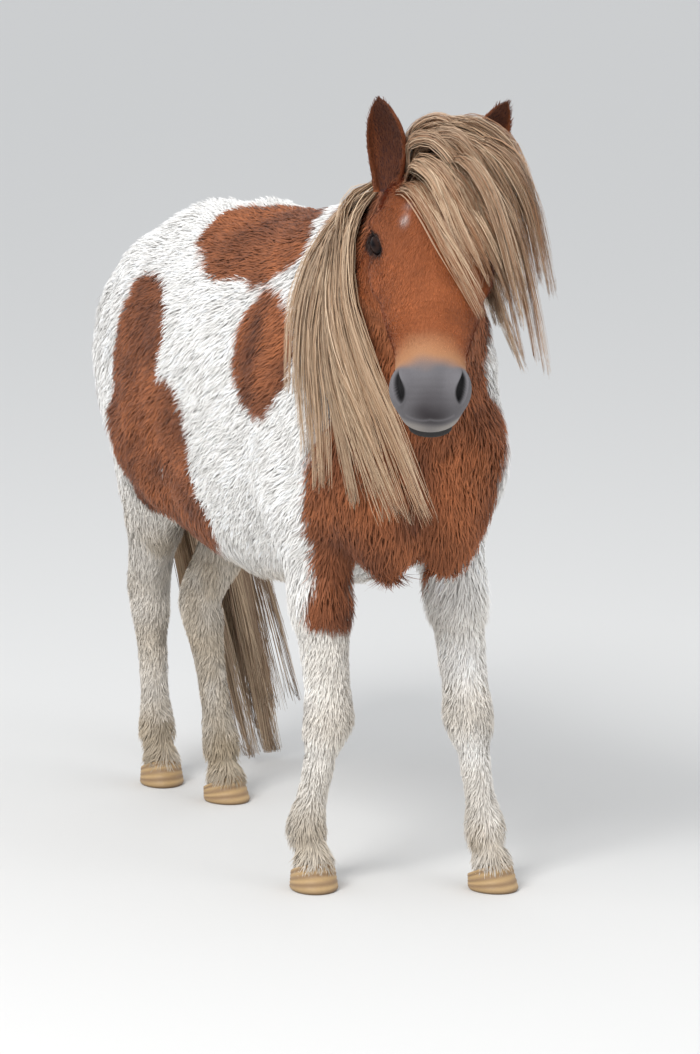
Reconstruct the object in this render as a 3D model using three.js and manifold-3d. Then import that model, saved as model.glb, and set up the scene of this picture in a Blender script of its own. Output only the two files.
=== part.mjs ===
// A life-size Shetland pony in its winter coat, standing still on four feet with its neck bent to its right.
// X is to the pony's left, Y to its rear and Z up, in millimetres. The floor is Z 0 and the hooves stand on it.
// The flesh is one smooth field of distances, made of tubes and eggs that blend into each other. Each node is
// a part of that field between thin cuts. The mane, forelock and tail are locks fused to what they grow from.
import * as THREE from "three";
import { mergeVertices } from "three/addons/utils/BufferGeometryUtils.js";
import Module from "manifold-3d";

const wasm = await Module();
wasm.setup();

// Driving dimensions, coat included
const WITHERS = 974; // height of the withers
const BACK = 952; // height of the back at its lowest
const CROUP = 958; // height of the croup
const BELLY = 396; // height of the belly's lowest hair
const BARREL_HALF = 188; // half the width of the barrel
const CHEST_HALF = 146; // half the width across the shoulders
const HIP_HALF = 145; // half the width across the thighs
const KNEE = 250; // height of the knee
const HOCK = 318; // height of the hock
const FETLOCK = 86; // height of the fetlocks
const HOOF_HALF = 35; // half the width of a hoof at the ground
const HEAD_TURN = 27.5; // degrees that the head is turned to the pony's right
const HEAD_DROP = 42; // degrees that the head's long axis points below the level
const EYE = 18; // radius of the eyeball
const GAP = 0.3; // between nodes that touch

// Where the feet stand: [x, y] of each sole's middle
const FEET = { foreRight: [-115, -307], foreLeft: [116, -418], hindRight: [-44, 408], hindLeft: [0, 256] };

// Vectors as plain arrays
const add = (a, b, k = 1) => [a[0] + b[0] * k, a[1] + b[1] * k, a[2] + b[2] * k];
const sub = (a, b) => add(a, b, -1);
const dot = (a, b) => a[0] * b[0] + a[1] * b[1] + a[2] * b[2];
const cross = (a, b) => [a[1] * b[2] - a[2] * b[1], a[2] * b[0] - a[0] * b[2], a[0] * b[1] - a[1] * b[0]];
const size = (a) => Math.sqrt(dot(a, a));
const unit = (a) => a.map((v) => v / size(a));
const mix = (a, b, t) => a + (b - a) * t;
const between = (a, b, t) => a.map((v, i) => mix(v, b[i], t));
const ease = (t) => {
  const c = Math.min(1, Math.max(0, t));
  return c * c * (3 - 2 * c);
};
const degrees = Math.PI / 180;
const UP = [0, 0, 1];
const LEFT = [1, 0, 0];

// A seeded draw, so that each build gives the same locks
function drawsFrom(seed) {
  let state = seed;
  return () => {
    state = (state * 1664525 + 1013904223) >>> 0;
    return state / 4294967296;
  };
}

// Fields: functions of a place that give the distance to a surface, negative inside

function eggDistance(u, v, w, a, b, c) {
  const p = u / a;
  const q = v / b;
  const r = w / c;
  const k0 = Math.sqrt(p * p + q * q + r * r);
  const k1 = Math.sqrt((p * p) / (a * a) + (q * q) / (b * b) + (r * r) / (c * c));
  return k1 > 1e-9 ? (k0 * (k0 - 1)) / k1 : -Math.min(a, b, c);
}

// An ellipsoid with half sizes along the axes, leaned back about X by a number of degrees
function egg(centre, half, lean = 0) {
  const c = Math.cos(lean * degrees);
  const s = Math.sin(lean * degrees);
  return (p) => {
    const x = p[0] - centre[0];
    const y = p[1] - centre[1];
    const z = p[2] - centre[2];
    return eggDistance(x, y * c - z * s, y * s + z * c, half[0], half[1], half[2]);
  };
}

// A smooth tube through stations of [x, y, z, side, plus, minus]. Side is its half size along across, and plus
// and minus are those square to it: up and down on a level tube, back and front on a leg, throat and crest on
// the neck.
function tube(stations, { across = LEFT, steps = 4, cap = 0.7 } = {}) {
  const places = new THREE.CatmullRomCurve3(stations.map((s) => new THREE.Vector3(s[0], s[1], s[2])));
  const sizes = new THREE.CatmullRomCurve3(stations.map((s) => new THREE.Vector3(s[3], s[4], s[5])));
  const count = (stations.length - 1) * steps;
  const rings = [];
  for (let i = 0; i <= count; i++) {
    const at = places.getPoint(i / count).toArray();
    const along = places.getTangent(i / count).toArray();
    const side = unit(add(across, along, -dot(across, along)));
    rings.push({ at, along, side, plus: cross(side, along), half: sizes.getPoint(i / count).toArray() });
  }
  return (p) => {
    let best = Infinity;
    for (let i = 0; i < count; i++) {
      const a = rings[i];
      const b = rings[i + 1];
      const d = sub(b.at, a.at);
      const t = Math.min(1, Math.max(0, dot(sub(p, a.at), d) / dot(d, d)));
      const q = sub(p, add(a.at, d, t));
      const most = Math.max(...a.half, ...b.half);
      if (size(q) - most > best) continue;
      const half = between(a.half, b.half, t);
      const v = dot(q, between(a.plus, b.plus, t));
      const w = t === 0 ? dot(q, a.along) : t === 1 ? dot(q, b.along) : 0;
      const end = cap * Math.min(...half);
      const u = dot(q, between(a.side, b.side, t));
      best = Math.min(best, eggDistance(u, v, w, half[0], v > 0 ? half[1] : half[2], end));
    }
    return best;
  };
}

// The smooth union of two distances, rounded over about k
function blend(a, b, k) {
  const h = Math.max(k - Math.abs(a - b), 0);
  return Math.min(a, b) - (h * h) / (4 * k);
}

// The smooth union of fields given as [field, k] pairs
const fused = (...parts) => (p) => parts.reduce((d, [f, k]) => blend(d, f(p), k), Infinity);
const both = (make) => [make(-1), make(1)];

function slope(field, p) {
  const e = 0.5;
  const g = [0, 1, 2].map((i) => {
    const step = [0, 0, 0];
    step[i] = e;
    return field(add(p, step)) - field(add(p, step, -1));
  });
  return unit(g);
}

// Trunk

const trunkSpine = tube(
  [
    [0, -400, 655, 100, 120, 125],
    [0, -340, 662, 132, WITHERS - 700, 198],
    [0, -240, 668, CHEST_HALF + 8, WITHERS - 668, 232],
    [0, -120, 662, BARREL_HALF - 14, BACK + 6 - 662, 660 - BELLY - 12],
    [0, 0, 658, BARREL_HALF, BACK - 658, 658 - BELLY],
    [0, 120, 664, BARREL_HALF - 2, BACK + 8 - 664, 664 - BELLY - 10],
    [0, 225, 690, BARREL_HALF - 20, CROUP - 692, 236],
    [0, 320, 718, HIP_HALF - 8, CROUP - 722, 200],
    [0, 400, 738, HIP_HALF - 34, CROUP - 778, 150],
    [0, 450, 745, 84, 112, 100],
  ],
  { cap: 0.5 },
);
const shoulders = both((s) => egg([s * 98, -285, 700], [58, 118, 165], 14));
const shoulderPoints = both((s) => egg([s * 84, -372, 610], [62, 72, 92], -12));
const breasts = both((s) => egg([s * 48, -395, 560], [58, 58, 92], 8));
const triceps = both((s) => egg([s * 108, -262, 585], [48, 86, 90], 0));
const thighs = both((s) => egg([s * 92, 315, 690], [HIP_HALF - 92, 145, 190], -6));
const buttocks = both((s) => egg([s * 66, 420, 690], [66, 82, 132], -8));
const flanks = both((s) => egg([s * 112, 215, 585], [58, 78, 95], 20));
const trunk = fused(
  [trunkSpine, 1],
  ...shoulders.map((f) => [f, 60]),
  ...shoulderPoints.map((f) => [f, 50]),
  ...breasts.map((f) => [f, 40]),
  ...triceps.map((f) => [f, 45]),
  ...thighs.map((f) => [f, 60]),
  ...buttocks.map((f) => [f, 50]),
  ...flanks.map((f) => [f, 60]),
);

// Legs: each is a tube through its joints. A station is [share of the way to the next joint, side, back, front].

function legTube(joints, stations) {
  const rows = [];
  stations.forEach((list, i) => {
    const a = joints[i];
    const b = joints[Math.min(i + 1, joints.length - 1)];
    list.forEach(([t, ...half]) => rows.push([...between(a, b, t), ...half]));
  });
  return tube(rows);
}

// The lowest part of every leg, from the fetlock to inside the hoof
const FOOT = [
  [0, 29, 35, 28],
  [0.4, 23, 27, 24],
  [0.75, 27, 28, 30],
  [1, 29, 30, 33],
];

function foreleg(side, foot, knee) {
  const fetlock = [foot[0], foot[1] + 22, FETLOCK];
  const joints = [[side * 104, -288, 560], knee, fetlock, [foot[0], foot[1], 30]];
  return {
    joints,
    field: legTube(joints, [
      [
        [0, 54, 72, 66],
        [0.22, 49, 62, 58],
        [0.45, 43, 48, 50],
        [0.68, 36, 38, 42],
        [0.86, 34, 33, 37],
      ],
      [
        [0, 38, 36, 38],
        [0.14, 35, 34, 34],
        [0.34, 24, 29, 25],
        [0.7, 22, 28, 23],
      ],
      FOOT,
    ]),
  };
}

function hindleg(side, foot, stifle, hock) {
  const fetlock = [foot[0], foot[1] + 18, FETLOCK + 2];
  const joints = [stifle, hock, fetlock, [foot[0], foot[1], 30]];
  return {
    joints,
    field: legTube(joints, [
      [
        [0, 66, 118, 88],
        [0.25, 59, 92, 76],
        [0.5, 48, 64, 60],
        [0.75, 37, 44, 42],
      ],
      [
        [0, 34, 46, 36],
        [0.16, 32, 38, 34],
        [0.36, 25, 30, 28],
        [0.72, 23, 29, 24],
      ],
      FOOT,
    ]),
  };
}

const legs = {
  foreRight: foreleg(-1, FEET.foreRight, [-92, -308, KNEE]),
  foreLeft: foreleg(1, FEET.foreLeft, [99, -372, KNEE]),
  hindRight: hindleg(-1, FEET.hindRight, [-96, 282, 590], [-56, 424, HOCK]),
  hindLeft: hindleg(1, FEET.hindLeft, [92, 245, 590], [-16, 312, HOCK - 4]),
};

// Head, in its own frame: X to its left, Y from the poll to the lips and Z out of the forehead

const facing = [-Math.sin(HEAD_TURN * degrees), -Math.cos(HEAD_TURN * degrees), 0];
const muzzleWay = add(facing.map((v) => v * Math.cos(HEAD_DROP * degrees)), UP, -Math.sin(HEAD_DROP * degrees));
const browWay = add(facing.map((v) => v * Math.sin(HEAD_DROP * degrees)), UP, Math.cos(HEAD_DROP * degrees));
const headLeft = cross(UP, facing);
const EYES_AT = [-89, -620, 952]; // midway between the eyes
const EYE_IN_HEAD = [65, 116, 27]; // the left eye's middle in the head's frame
const headOrigin = add(add(EYES_AT, muzzleWay, -EYE_IN_HEAD[1]), browWay, -EYE_IN_HEAD[2]);
const fromHead = ([x, y, z]) => add(add(add(headOrigin, headLeft, x), muzzleWay, y), browWay, z);
const turnFromHead = ([x, y, z]) => add(add(headLeft.map((v) => v * x), muzzleWay, y), browWay, z);
function toHead(p) {
  const q = sub(p, headOrigin);
  return [dot(q, headLeft), dot(q, muzzleWay), dot(q, browWay)];
}

const skull = tube(
  [
    [0, -20, 4, 52, 54, 60],
    [0, 35, 10, 69, 64, 84],
    [0, 105, 12, 79, 64, 86],
    [0, 165, 4, 74, 58, 75],
    [0, 225, 0, 63, 50, 62],
    [0, 285, -6, 48, 43, 52],
    [0, 335, -12, 47, 37, 44],
    [0, 366, -18, 42, 28, 32],
  ],
  { cap: 0.75 },
);
const jaw = tube(
  [
    [0, 66, -60, 50, 40, 50],
    [0, 130, -74, 50, 40, 40],
    [0, 200, -74, 40, 32, 28],
    [0, 270, -70, 33, 26, 22],
    [0, 325, -68, 33, 20, 18],
    [0, 356, -66, 29, 14, 15],
  ],
  { cap: 0.9 },
);
const cheeks = both((s) => egg([s * 44, 88, -52], [29, 66, 56]));
const brows = both((s) => egg([s * 61, 104, 44], [25, 34, 17]));
const underEyes = both((s) => egg([s * 70, 142, 2], [14, 42, 12]));
const nostrilWings = both((s) => egg([s * 37, 346, 0], [17, 26, 26]));
const upperLip = egg([0, 358, -34], [36, 26, 20]);
const headShape = fused(
  [skull, 1],
  [jaw, 22],
  ...cheeks.map((f) => [f, 16]),
  ...brows.map((f) => [f, 16]),
  ...underEyes.map((f) => [f, 16]),
  ...nostrilWings.map((f) => [f, 14]),
  [upperLip, 12],
);
const head = (p) => headShape(toHead(p));

const neck = tube(
  [
    [0, -190, 735, 118, 150, 160],
    [0, -300, 792, 114, 158, 158],
    [-8, -388, 852, 100, 132, 140],
    [-24, -456, 920, 86, 104, 122],
    [...fromHead([0, 16, -22]), 64, 80, 84],
    [...fromHead([0, 60, -30]), 50, 60, 60],
  ],
  { across: unit(add(LEFT, headLeft)) },
);

// The whole of the flesh. No two legs blend with each other.
const TRUNK_TO_LEG = 46;
const body = (p) => blend(blend(trunk(p), neck(p), 70), head(p), 34);
const flesh = (p) => {
  const b = body(p);
  return Math.min(...Object.values(legs).map((leg) => blend(b, leg.field(p), TRUNK_TO_LEG)));
};

// Cuts: each is a plane by a point on it and its normal, which points to the node further from the trunk. A
// width bounds the cut in the torso, so that it takes the leg and no belly.

const CUT = {
  neck: { at: [0, -318, 815], normal: unit([0, -0.74, 0.675]) },
  head: { at: fromHead([0, 10, -25]), normal: turnFromHead([0, 0.92, 0.39]) },
  throat: { at: fromHead([0, 90, -124]), normal: turnFromHead([0, -0.25, -0.97]) },
  foreRight: { at: [-112, -330, 474], normal: unit([-0.42, 0, -0.9]), width: 340 },
  foreLeft: { at: [112, -330, 474], normal: unit([0.42, 0, -0.9]), width: 340 },
  hindRight: { at: [-94, 325, 500], normal: unit([-0.15, 0.45, -0.88]), width: 400 },
  hindLeft: { at: [86, 290, 500], normal: unit([0.15, 0.35, -0.93]), width: 400 },
};
const beyond = (cut, p) => dot(sub(p, cut.at), cut.normal);
const inTheHead = (p) => Math.min(beyond(CUT.head, p), -beyond(CUT.throat, p));
const MARGIN = 26; // flesh made past a cut before it is trimmed

// Meshes of a field

// Whether a grid cell has one sheet of surface in it at most: its inside corners hang together, and so do its
// outside corners, and no face of the cell has two of each at crossed corners
function isPlain(inside) {
  for (const kind of [true, false]) {
    const members = [0, 1, 2, 3, 4, 5, 6, 7].filter((c) => inside[c] === kind);
    if (members.length === 0) return true;
    const met = new Set([members[0]]);
    for (const c of met) for (const bit of [1, 2, 4]) if (inside[c ^ bit] === kind) met.add(c ^ bit);
    if (met.size < members.length) return false;
  }
  for (const [u, v, w] of [
    [1, 2, 4],
    [2, 4, 1],
    [4, 1, 2],
  ])
    for (const c of [0, w])
      if (inside[c] === inside[c | u | v] && inside[c | u] === inside[c | v] && inside[c] !== inside[c | u]) return false;
  return true;
}

// The closed surface of a field on a grid, with every vertex drawn onto the surface
function net(field, low, high, cell) {
  const n = low.map((v, i) => Math.ceil((high[i] - v) / cell) + 1);
  const at = (i, j, k) => (k * n[1] + j) * n[0] + i;
  const place = (i, j, k) => [low[0] + i * cell, low[1] + j * cell, low[2] + k * cell];
  const values = new Float32Array(n[0] * n[1] * n[2]);
  for (let k = 0; k < n[2]; k++)
    for (let j = 0; j < n[1]; j++) for (let i = 0; i < n[0]; i++) values[at(i, j, k)] = field(place(i, j, k));
  const corners = [0, 1, 2, 3, 4, 5, 6, 7].map((c) => [c & 1, (c >> 1) & 1, (c >> 2) & 1]);
  for (let changed = true; changed; ) {
    changed = false;
    for (let k = 0; k < n[2] - 1; k++)
      for (let j = 0; j < n[1] - 1; j++)
        for (let i = 0; i < n[0] - 1; i++) {
          const cell = corners.map(([a, b, c]) => at(i + a, j + b, k + c));
          if (isPlain(cell.map((c) => values[c] < 0))) continue;
          const outside = cell.filter((c) => values[c] >= 0);
          values[outside.reduce((a, b) => (values[b] < values[a] ? b : a))] = -0.01;
          changed = true;
        }
  }
  const positions = [];
  const vertexOf = new Map();
  for (let k = 0; k < n[2] - 1; k++)
    for (let j = 0; j < n[1] - 1; j++)
      for (let i = 0; i < n[0] - 1; i++) {
        const v = corners.map(([a, b, c]) => values[at(i + a, j + b, k + c)]);
        const inside = v.filter((d) => d < 0).length;
        if (inside === 0 || inside === 8) continue;
        const crossings = [];
        for (let a = 0; a < 8; a++)
          for (const bit of [1, 2, 4]) {
            const b = a | bit;
            if (b !== a && v[a] < 0 !== v[b] < 0) crossings.push(between(corners[a], corners[b], v[a] / (v[a] - v[b])));
          }
        const mean = crossings.reduce((s, c) => add(s, c, 1 / crossings.length), [0, 0, 0]);
        let p = add(place(i, j, k), mean, cell);
        for (let round = 0; round < 2; round++) {
          const d = Math.max(-cell / 2, Math.min(cell / 2, field(p)));
          p = add(p, slope(field, p), -d);
        }
        vertexOf.set(at(i, j, k), positions.length / 3);
        positions.push(...p);
      }
  const index = [];
  const quad = (a, b, c, d, flip) => index.push(...(flip ? [a, c, b, a, d, c] : [a, b, c, a, c, d]));
  for (let k = 1; k < n[2] - 1; k++)
    for (let j = 1; j < n[1] - 1; j++)
      for (let i = 1; i < n[0] - 1; i++) {
        const here = values[at(i, j, k)] < 0;
        [
          [1, 0, 0],
          [0, 1, 0],
          [0, 0, 1],
        ].forEach((step, axis) => {
          if (here === values[at(i + step[0], j + step[1], k + step[2])] < 0) return;
          const u = [0, 0, 0];
          const w = [0, 0, 0];
          u[(axis + 1) % 3] = 1;
          w[(axis + 2) % 3] = 1;
          const v = (a, b) =>
            vertexOf.get(at(i - a * u[0] - b * w[0], j - a * u[1] - b * w[1], k - a * u[2] - b * w[2]));
          quad(v(1, 1), v(0, 1), v(0, 0), v(1, 0), !here);
        });
      }
  return geometryOf(positions, index);
}

function geometryOf(positions, index) {
  return new THREE.BufferGeometry()
    .setAttribute("position", new THREE.Float32BufferAttribute(positions, 3))
    .setIndex(index);
}

// The first place on a ray from inside a field where it leaves the flesh
function surfaceFrom(field, from, way, reach = 400, step = 5) {
  let near = 0;
  let far = step;
  while (far < reach && field(add(from, way, far)) < 0) {
    near = far;
    far += step;
  }
  for (let i = 0; i < 14; i++) {
    const middle = (near + far) / 2;
    if (field(add(from, way, middle)) < 0) near = middle;
    else far = middle;
  }
  return add(from, way, (near + far) / 2);
}

// Joins rings of equally many points, in order along the piece, into one closed surface with a point at each end
function skinned(rings, first, last) {
  const sides = rings[0].length;
  const positions = [...rings.flat(), first, last].flat();
  const start = rings.length * sides;
  const index = [];
  for (let j = 0; j < sides; j++) {
    const next = (j + 1) % sides;
    index.push(start, next, j);
    index.push(start + 1, (rings.length - 1) * sides + j, (rings.length - 1) * sides + next);
    for (let i = 0; i < rings.length - 1; i++) {
      const a = i * sides + j;
      const b = i * sides + next;
      index.push(a, b, b + sides, a, b + sides, a + sides);
    }
  }
  return geometryOf(positions, index);
}

// Wraps a field that is seen whole from its spine. The spine's stations are { at, along }, and the rays of a
// station stand square to along. Past both ends the rays fan out to a point in a few rings.
function wrap(field, spine, { sides = 14, across = LEFT, fans = 3, reach = 400 } = {}) {
  const ring = (station, tilt) => {
    const side = unit(add(across, station.along, -dot(across, station.along)));
    const up = cross(side, station.along);
    return Array.from({ length: sides }, (_, j) => {
      const a = (j / sides) * 2 * Math.PI;
      const out = add(side.map((v) => v * Math.cos(a)), up, -Math.sin(a));
      const way = add(out.map((v) => v * Math.cos(tilt)), station.along, Math.sin(tilt));
      return surfaceFrom(field, station.at, way, reach);
    });
  };
  const tilts = Array.from({ length: fans }, (_, i) => ((i + 1) / (fans + 1)) * (Math.PI / 2));
  const first = spine[0];
  const last = spine[spine.length - 1];
  const rings = [
    ...tilts.toReversed().map((t) => ring(first, -t)),
    ...spine.map((station) => ring(station, 0)),
    ...tilts.map((t) => ring(last, t)),
  ];
  const back = surfaceFrom(field, first.at, first.along.map((v) => -v), reach);
  return skinned(rings, back, surfaceFrom(field, last.at, last.along, reach));
}

// Solids, joined and cut by manifold-3d

function solidOf(geometry) {
  const bare = geometry.clone();
  bare.deleteAttribute("normal");
  bare.deleteAttribute("uv");
  const merged = mergeVertices(bare, 1e-3);
  return new wasm.Manifold(
    new wasm.Mesh({
      numProp: 3,
      vertProperties: merged.attributes.position.array,
      triVerts: new Uint32Array(merged.index.array),
    }),
  );
}

// The block of space past a plane, less half of the gap that is left there
function past({ at, normal, width = 900 }, clearance = GAP / 2) {
  const box = new THREE.BoxGeometry(width, width, 900).translate(0, 0, 450 - clearance);
  box.applyQuaternion(new THREE.Quaternion().setFromUnitVectors(new THREE.Vector3(0, 0, 1), new THREE.Vector3(...normal)));
  return solidOf(box.translate(...at));
}
const before = (cut) => past({ ...cut, normal: cut.normal.map((v) => -v), width: 900 });

const largest = (solid) => solid.decompose().reduce((a, b) => (b.volume() > a.volume() ? b : a));
const joined = (solids) => solids.reduce((a, b) => a.add(b));

const root = new THREE.Group();
const shift = new THREE.Group();
shift.position.set(-13.5, 120.5, 0); // sets the middle of the outline over the origin
root.add(shift);

// A node's vertices are rounded to a thousandth of a millimetre, so that those of a sliver meet. The node is its
// largest closed surface, taken again after each rounding.
function geometryOfSolid(solid) {
  const mesh = solid.getMesh();
  return geometryOf(Array.from(mesh.vertProperties, (v) => Math.round(v * 1000) / 1000), Array.from(mesh.triVerts));
}

// Whether each edge of the rounded surface still has one face on each side
function isSound(solid) {
  const welded = mergeVertices(geometryOfSolid(solid), 1e-3).index.array;
  const met = new Set();
  for (let i = 0; i < welded.length; i += 3) {
    const face = [welded[i], welded[i + 1], welded[i + 2]];
    if (new Set(face).size < 3) continue;
    for (let k = 0; k < 3; k++) {
      const edge = face[k] * 1e6 + face[(k + 1) % 3];
      if (met.has(edge)) return false;
      met.add(edge);
    }
  }
  return true;
}

function node(name, solid, material) {
  let geometry = geometryOfSolid(largest(solid));
  for (let i = 0; i < 4; i++) geometry = geometryOfSolid(largest(solidOf(geometry)));
  geometry.computeVertexNormals();
  const made = new THREE.Mesh(geometry, material);
  made.name = name;
  shift.add(made);
}

const coatMaterial = new THREE.MeshStandardMaterial({ color: 0xf1ebe2, roughness: 0.9 });
const chestnutMaterial = new THREE.MeshStandardMaterial({ color: 0x9c5228, roughness: 0.9 });
const hoofMaterial = new THREE.MeshStandardMaterial({ color: 0xc9a06a, roughness: 0.55 });
const eyeMaterial = new THREE.MeshStandardMaterial({ color: 0x120c0a, roughness: 0.08 });
const tailMaterial = new THREE.MeshStandardMaterial({ color: 0xa98257, roughness: 0.8 });

// Trunk node: its flesh ends a little past each cut, and is then trimmed

const clipped = (field, cut) => (p) => Math.max(field(p), beyond(cut, p) - MARGIN);
const stumps = Object.keys(legs).map((name) => clipped(legs[name].field, CUT[name]));
const torsoField = (p) => {
  const b = Math.max(body(p), beyond(CUT.neck, p) - MARGIN);
  return Math.min(...stumps.map((stump) => blend(b, stump(p), TRUNK_TO_LEG)));
};
const TORSO_LOW = [-260, -520, 330];
const TORSO_HIGH = [260, 580, 1010];
const TORSO_CELL = 33.5;
const torsoAt = (grow) =>
  solidOf(net((p) => torsoField(p) - grow, TORSO_LOW, TORSO_HIGH, TORSO_CELL)).subtract(past(CUT.neck));
const torso = Object.keys(legs).reduce((solid, name) => solid.subtract(past(CUT[name])), torsoAt(0));
const torsoSkin = torsoAt(GAP);
node("torso", torso, coatMaterial);

// Legs and hooves. The coronet is a plane that falls from toe to heel, and the foot is turned out a little.

const FOOT_TURN = { foreRight: -14, foreLeft: 10, hindRight: -12, hindLeft: 12 };
const NODE_NAME = {
  foreRight: "fore_right",
  foreLeft: "fore_left",
  hindRight: "hind_right",
  hindLeft: "hind_left",
};
const CORONET_FALL = 24; // degrees
const HOOF_TOP = 30; // height of the coronet plane above the sole's middle

function coronetPlane(name) {
  const lean = CORONET_FALL * degrees;
  const turn = FOOT_TURN[name] * degrees;
  const normal = [Math.sin(lean) * Math.sin(turn), -Math.sin(lean) * Math.cos(turn), -Math.cos(lean)];
  return { at: [FEET[name][0], FEET[name][1], HOOF_TOP], normal };
}

// Rings of a hoof from the ground up: [height, share of the ground size, how far it has leaned back]
const HOOF_RINGS = [
  [0, 0.95, 0],
  [3, 1, 1],
  [30, 0.9, 8],
  [62, 0.78, 18],
];
const HOOF_FRONT = 44; // from the sole's middle to the toe
const HOOF_BACK = 33; // and to the heel

function hoof(name) {
  const sides = 16;
  const rings = HOOF_RINGS.map(([z, share, back]) =>
    Array.from({ length: sides }, (_, j) => {
      const a = (-j / sides) * 2 * Math.PI;
      const fore = Math.sin(a);
      return [Math.cos(a) * HOOF_HALF * share, -fore * share * (fore > 0 ? HOOF_FRONT : HOOF_BACK) + back, z];
    }),
  );
  const last = HOOF_RINGS.at(-1);
  const whole = skinned(rings, [0, 0, 0], [0, last[2], last[0]]).rotateZ(FOOT_TURN[name] * degrees);
  return solidOf(whole.translate(FEET[name][0], FEET[name][1], 0)).subtract(before(coronetPlane(name)));
}

function legSpine(joints, top, shares) {
  const curve = new THREE.CatmullRomCurve3([top, ...joints.slice(1)].map((j) => new THREE.Vector3(...j)));
  return shares.map((t) => ({ at: curve.getPoint(t).toArray(), along: curve.getTangent(t).toArray() }));
}


// Where the thighs meet, each ends a little short of the pony's middle
const betweenLegs = (side, p) => 3 - side * p[0] - Math.max(0, 450 - p[2]);

const LEG_SHARES = [0.03, 0.12, 0.21, 0.29, 0.36, 0.44, 0.54, 0.63, 0.7, 0.78, 0.86, 0.93];
for (const [name, leg] of Object.entries(legs)) {
  const cut = CUT[name];
  const side = Math.sign(cut.at[0]);
  const field = (p) =>
    Math.max(blend(body(p), leg.field(p), TRUNK_TO_LEG), -beyond(cut, p) - MARGIN, betweenLegs(side, p));
  const top = leg.joints[0];
  const toKnee = unit(sub(leg.joints[1], top));
  const start = add(top, toKnee, -beyond(cut, top) / dot(toKnee, cut.normal) + 4);
  const spine = legSpine(leg.joints, start, LEG_SHARES);
  spine[0].along = cut.normal;
  const whole = solidOf(wrap(field, spine, { sides: 14, fans: 2, reach: 160 }));
  const trimmed = whole.subtract(before(cut)).subtract(past(coronetPlane(name)));
  node("leg_" + NODE_NAME[name], trimmed, coatMaterial);
  node("hoof_" + NODE_NAME[name], hoof(name), hoofMaterial);
}

// Head: wrapped, then the lids are added, and the eyes, nostrils and mouth are cut

const HEAD_STATIONS = [20, 38, 56, 74, 90, 104, 118, 132, 148, 166, 186, 208, 230, 252, 274, 296, 316, 336];
const HEAD_SPINE = HEAD_STATIONS.map((y, i) => ({
  at: fromHead([0, y, y < 280 ? -20 : -20 - (y - 280) * 0.28]),
  along: i === 0 ? CUT.head.normal : muzzleWay,
}));
const headField = (p) => Math.max(blend(head(p), blend(neck(p), trunk(p), 70), 34), -inTheHead(p) - MARGIN);
const headAt = (grow) =>
  solidOf(wrap((p) => headField(p) - grow, HEAD_SPINE, { sides: 28, across: headLeft, fans: 4, reach: 200 }));

// The head's frame is a left-handed one, so faces are turned round on the way out of it
function inHead(geometry) {
  const axes = new THREE.Matrix4().makeBasis(...[headLeft, muzzleWay, browWay].map((v) => new THREE.Vector3(...v)));
  geometry.setIndex(Array.from(geometry.index.array).reverse());
  return solidOf(geometry.applyMatrix4(axes.setPosition(...headOrigin)));
}
const ball = (centre, half, across = 14, down = 9) =>
  new THREE.SphereGeometry(1, across, down).scale(...half).translate(...centre);

// Eyes look outwards, a little forwards and up
function eyeParts(s) {
  const centre = [s * EYE_IN_HEAD[0], EYE_IN_HEAD[1], EYE_IN_HEAD[2]];
  const gaze = unit([s * 0.78, 0.38, 0.5]);
  const turn = new THREE.Quaternion().setFromUnitVectors(new THREE.Vector3(0, 1, 0), new THREE.Vector3(...gaze));
  const lens = [-1, 1].map((k) =>
    new THREE.CylinderGeometry(17.5, 17.5, 40, 24)
      .rotateY(s * -0.35)
      .translate(0, 20, 0)
      .translate(...[8.6 * k * Math.sin(s * -0.35), 0, 8.6 * k * Math.cos(s * 0.35)]),
  );
  const placed = lens.map((g) => inHead(g.applyQuaternion(turn).translate(...centre)));
  return {
    eyeball: inHead(ball(centre, [EYE, EYE, EYE])),
    socket: inHead(ball(centre, [EYE + GAP, EYE + GAP, EYE + GAP])),
    lids: inHead(ball(centre, [EYE + 4, EYE + 4, EYE + 4], 18, 11)),
    lidSkin: inHead(ball(centre, [EYE + 5, EYE + 5, EYE + 5])),
    opening: placed[0].intersect(placed[1]),
  };
}

function nostril(s) {
  const long = new THREE.Vector3(s * 0.36, -0.5, 0.74).normalize();
  const turn = new THREE.Quaternion().setFromUnitVectors(new THREE.Vector3(0, 0, 1), long);
  return inHead(new THREE.SphereGeometry(1, 12, 8).scale(7, 11, 18).applyQuaternion(turn).translate(s * 41, 359, 16));
}

// The mouth is a thin groove that follows the lips from one corner to the other
function mouth() {
  const rings = [];
  for (let i = 0; i <= 20; i++) {
    const a = mix(-1, 1, i / 20);
    const way = [Math.sin(a * 1.9), Math.cos(a * 1.9), 0];
    const from = [0, 318, -53.5 + 4.5 * a * a];
    const on = toHead(surfaceFrom(head, fromHead(from), turnFromHead(way), 120, 3));
    const deep = add(on, way, -5);
    const out = add(on, way, 8);
    rings.push([add(deep, [0, 0, 0.4]), add(out, [0, 0, 2.6]), add(out, [0, 0, -2.6]), add(deep, [0, 0, -0.4])]);
  }
  return inHead(skinned(rings, between(rings[0][0], rings[0][2], 0.5), between(rings[20][0], rings[20][2], 0.5)));
}

const eyes = both(eyeParts);
const lidded = headAt(0).add(eyes[0].lids).add(eyes[1].lids);
const faceCuts = [...eyes.map((e) => e.socket), ...eyes.map((e) => e.opening), ...both(nostril), mouth()];
const bareHead = faceCuts.reduce((solid, cut) => solid.subtract(cut), lidded)
  .subtract(before(CUT.head))
  .subtract(past(CUT.throat));
node("eye_right", eyes[0].eyeball, eyeMaterial);
node("eye_left", eyes[1].eyeball, eyeMaterial);

// Neck

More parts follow.
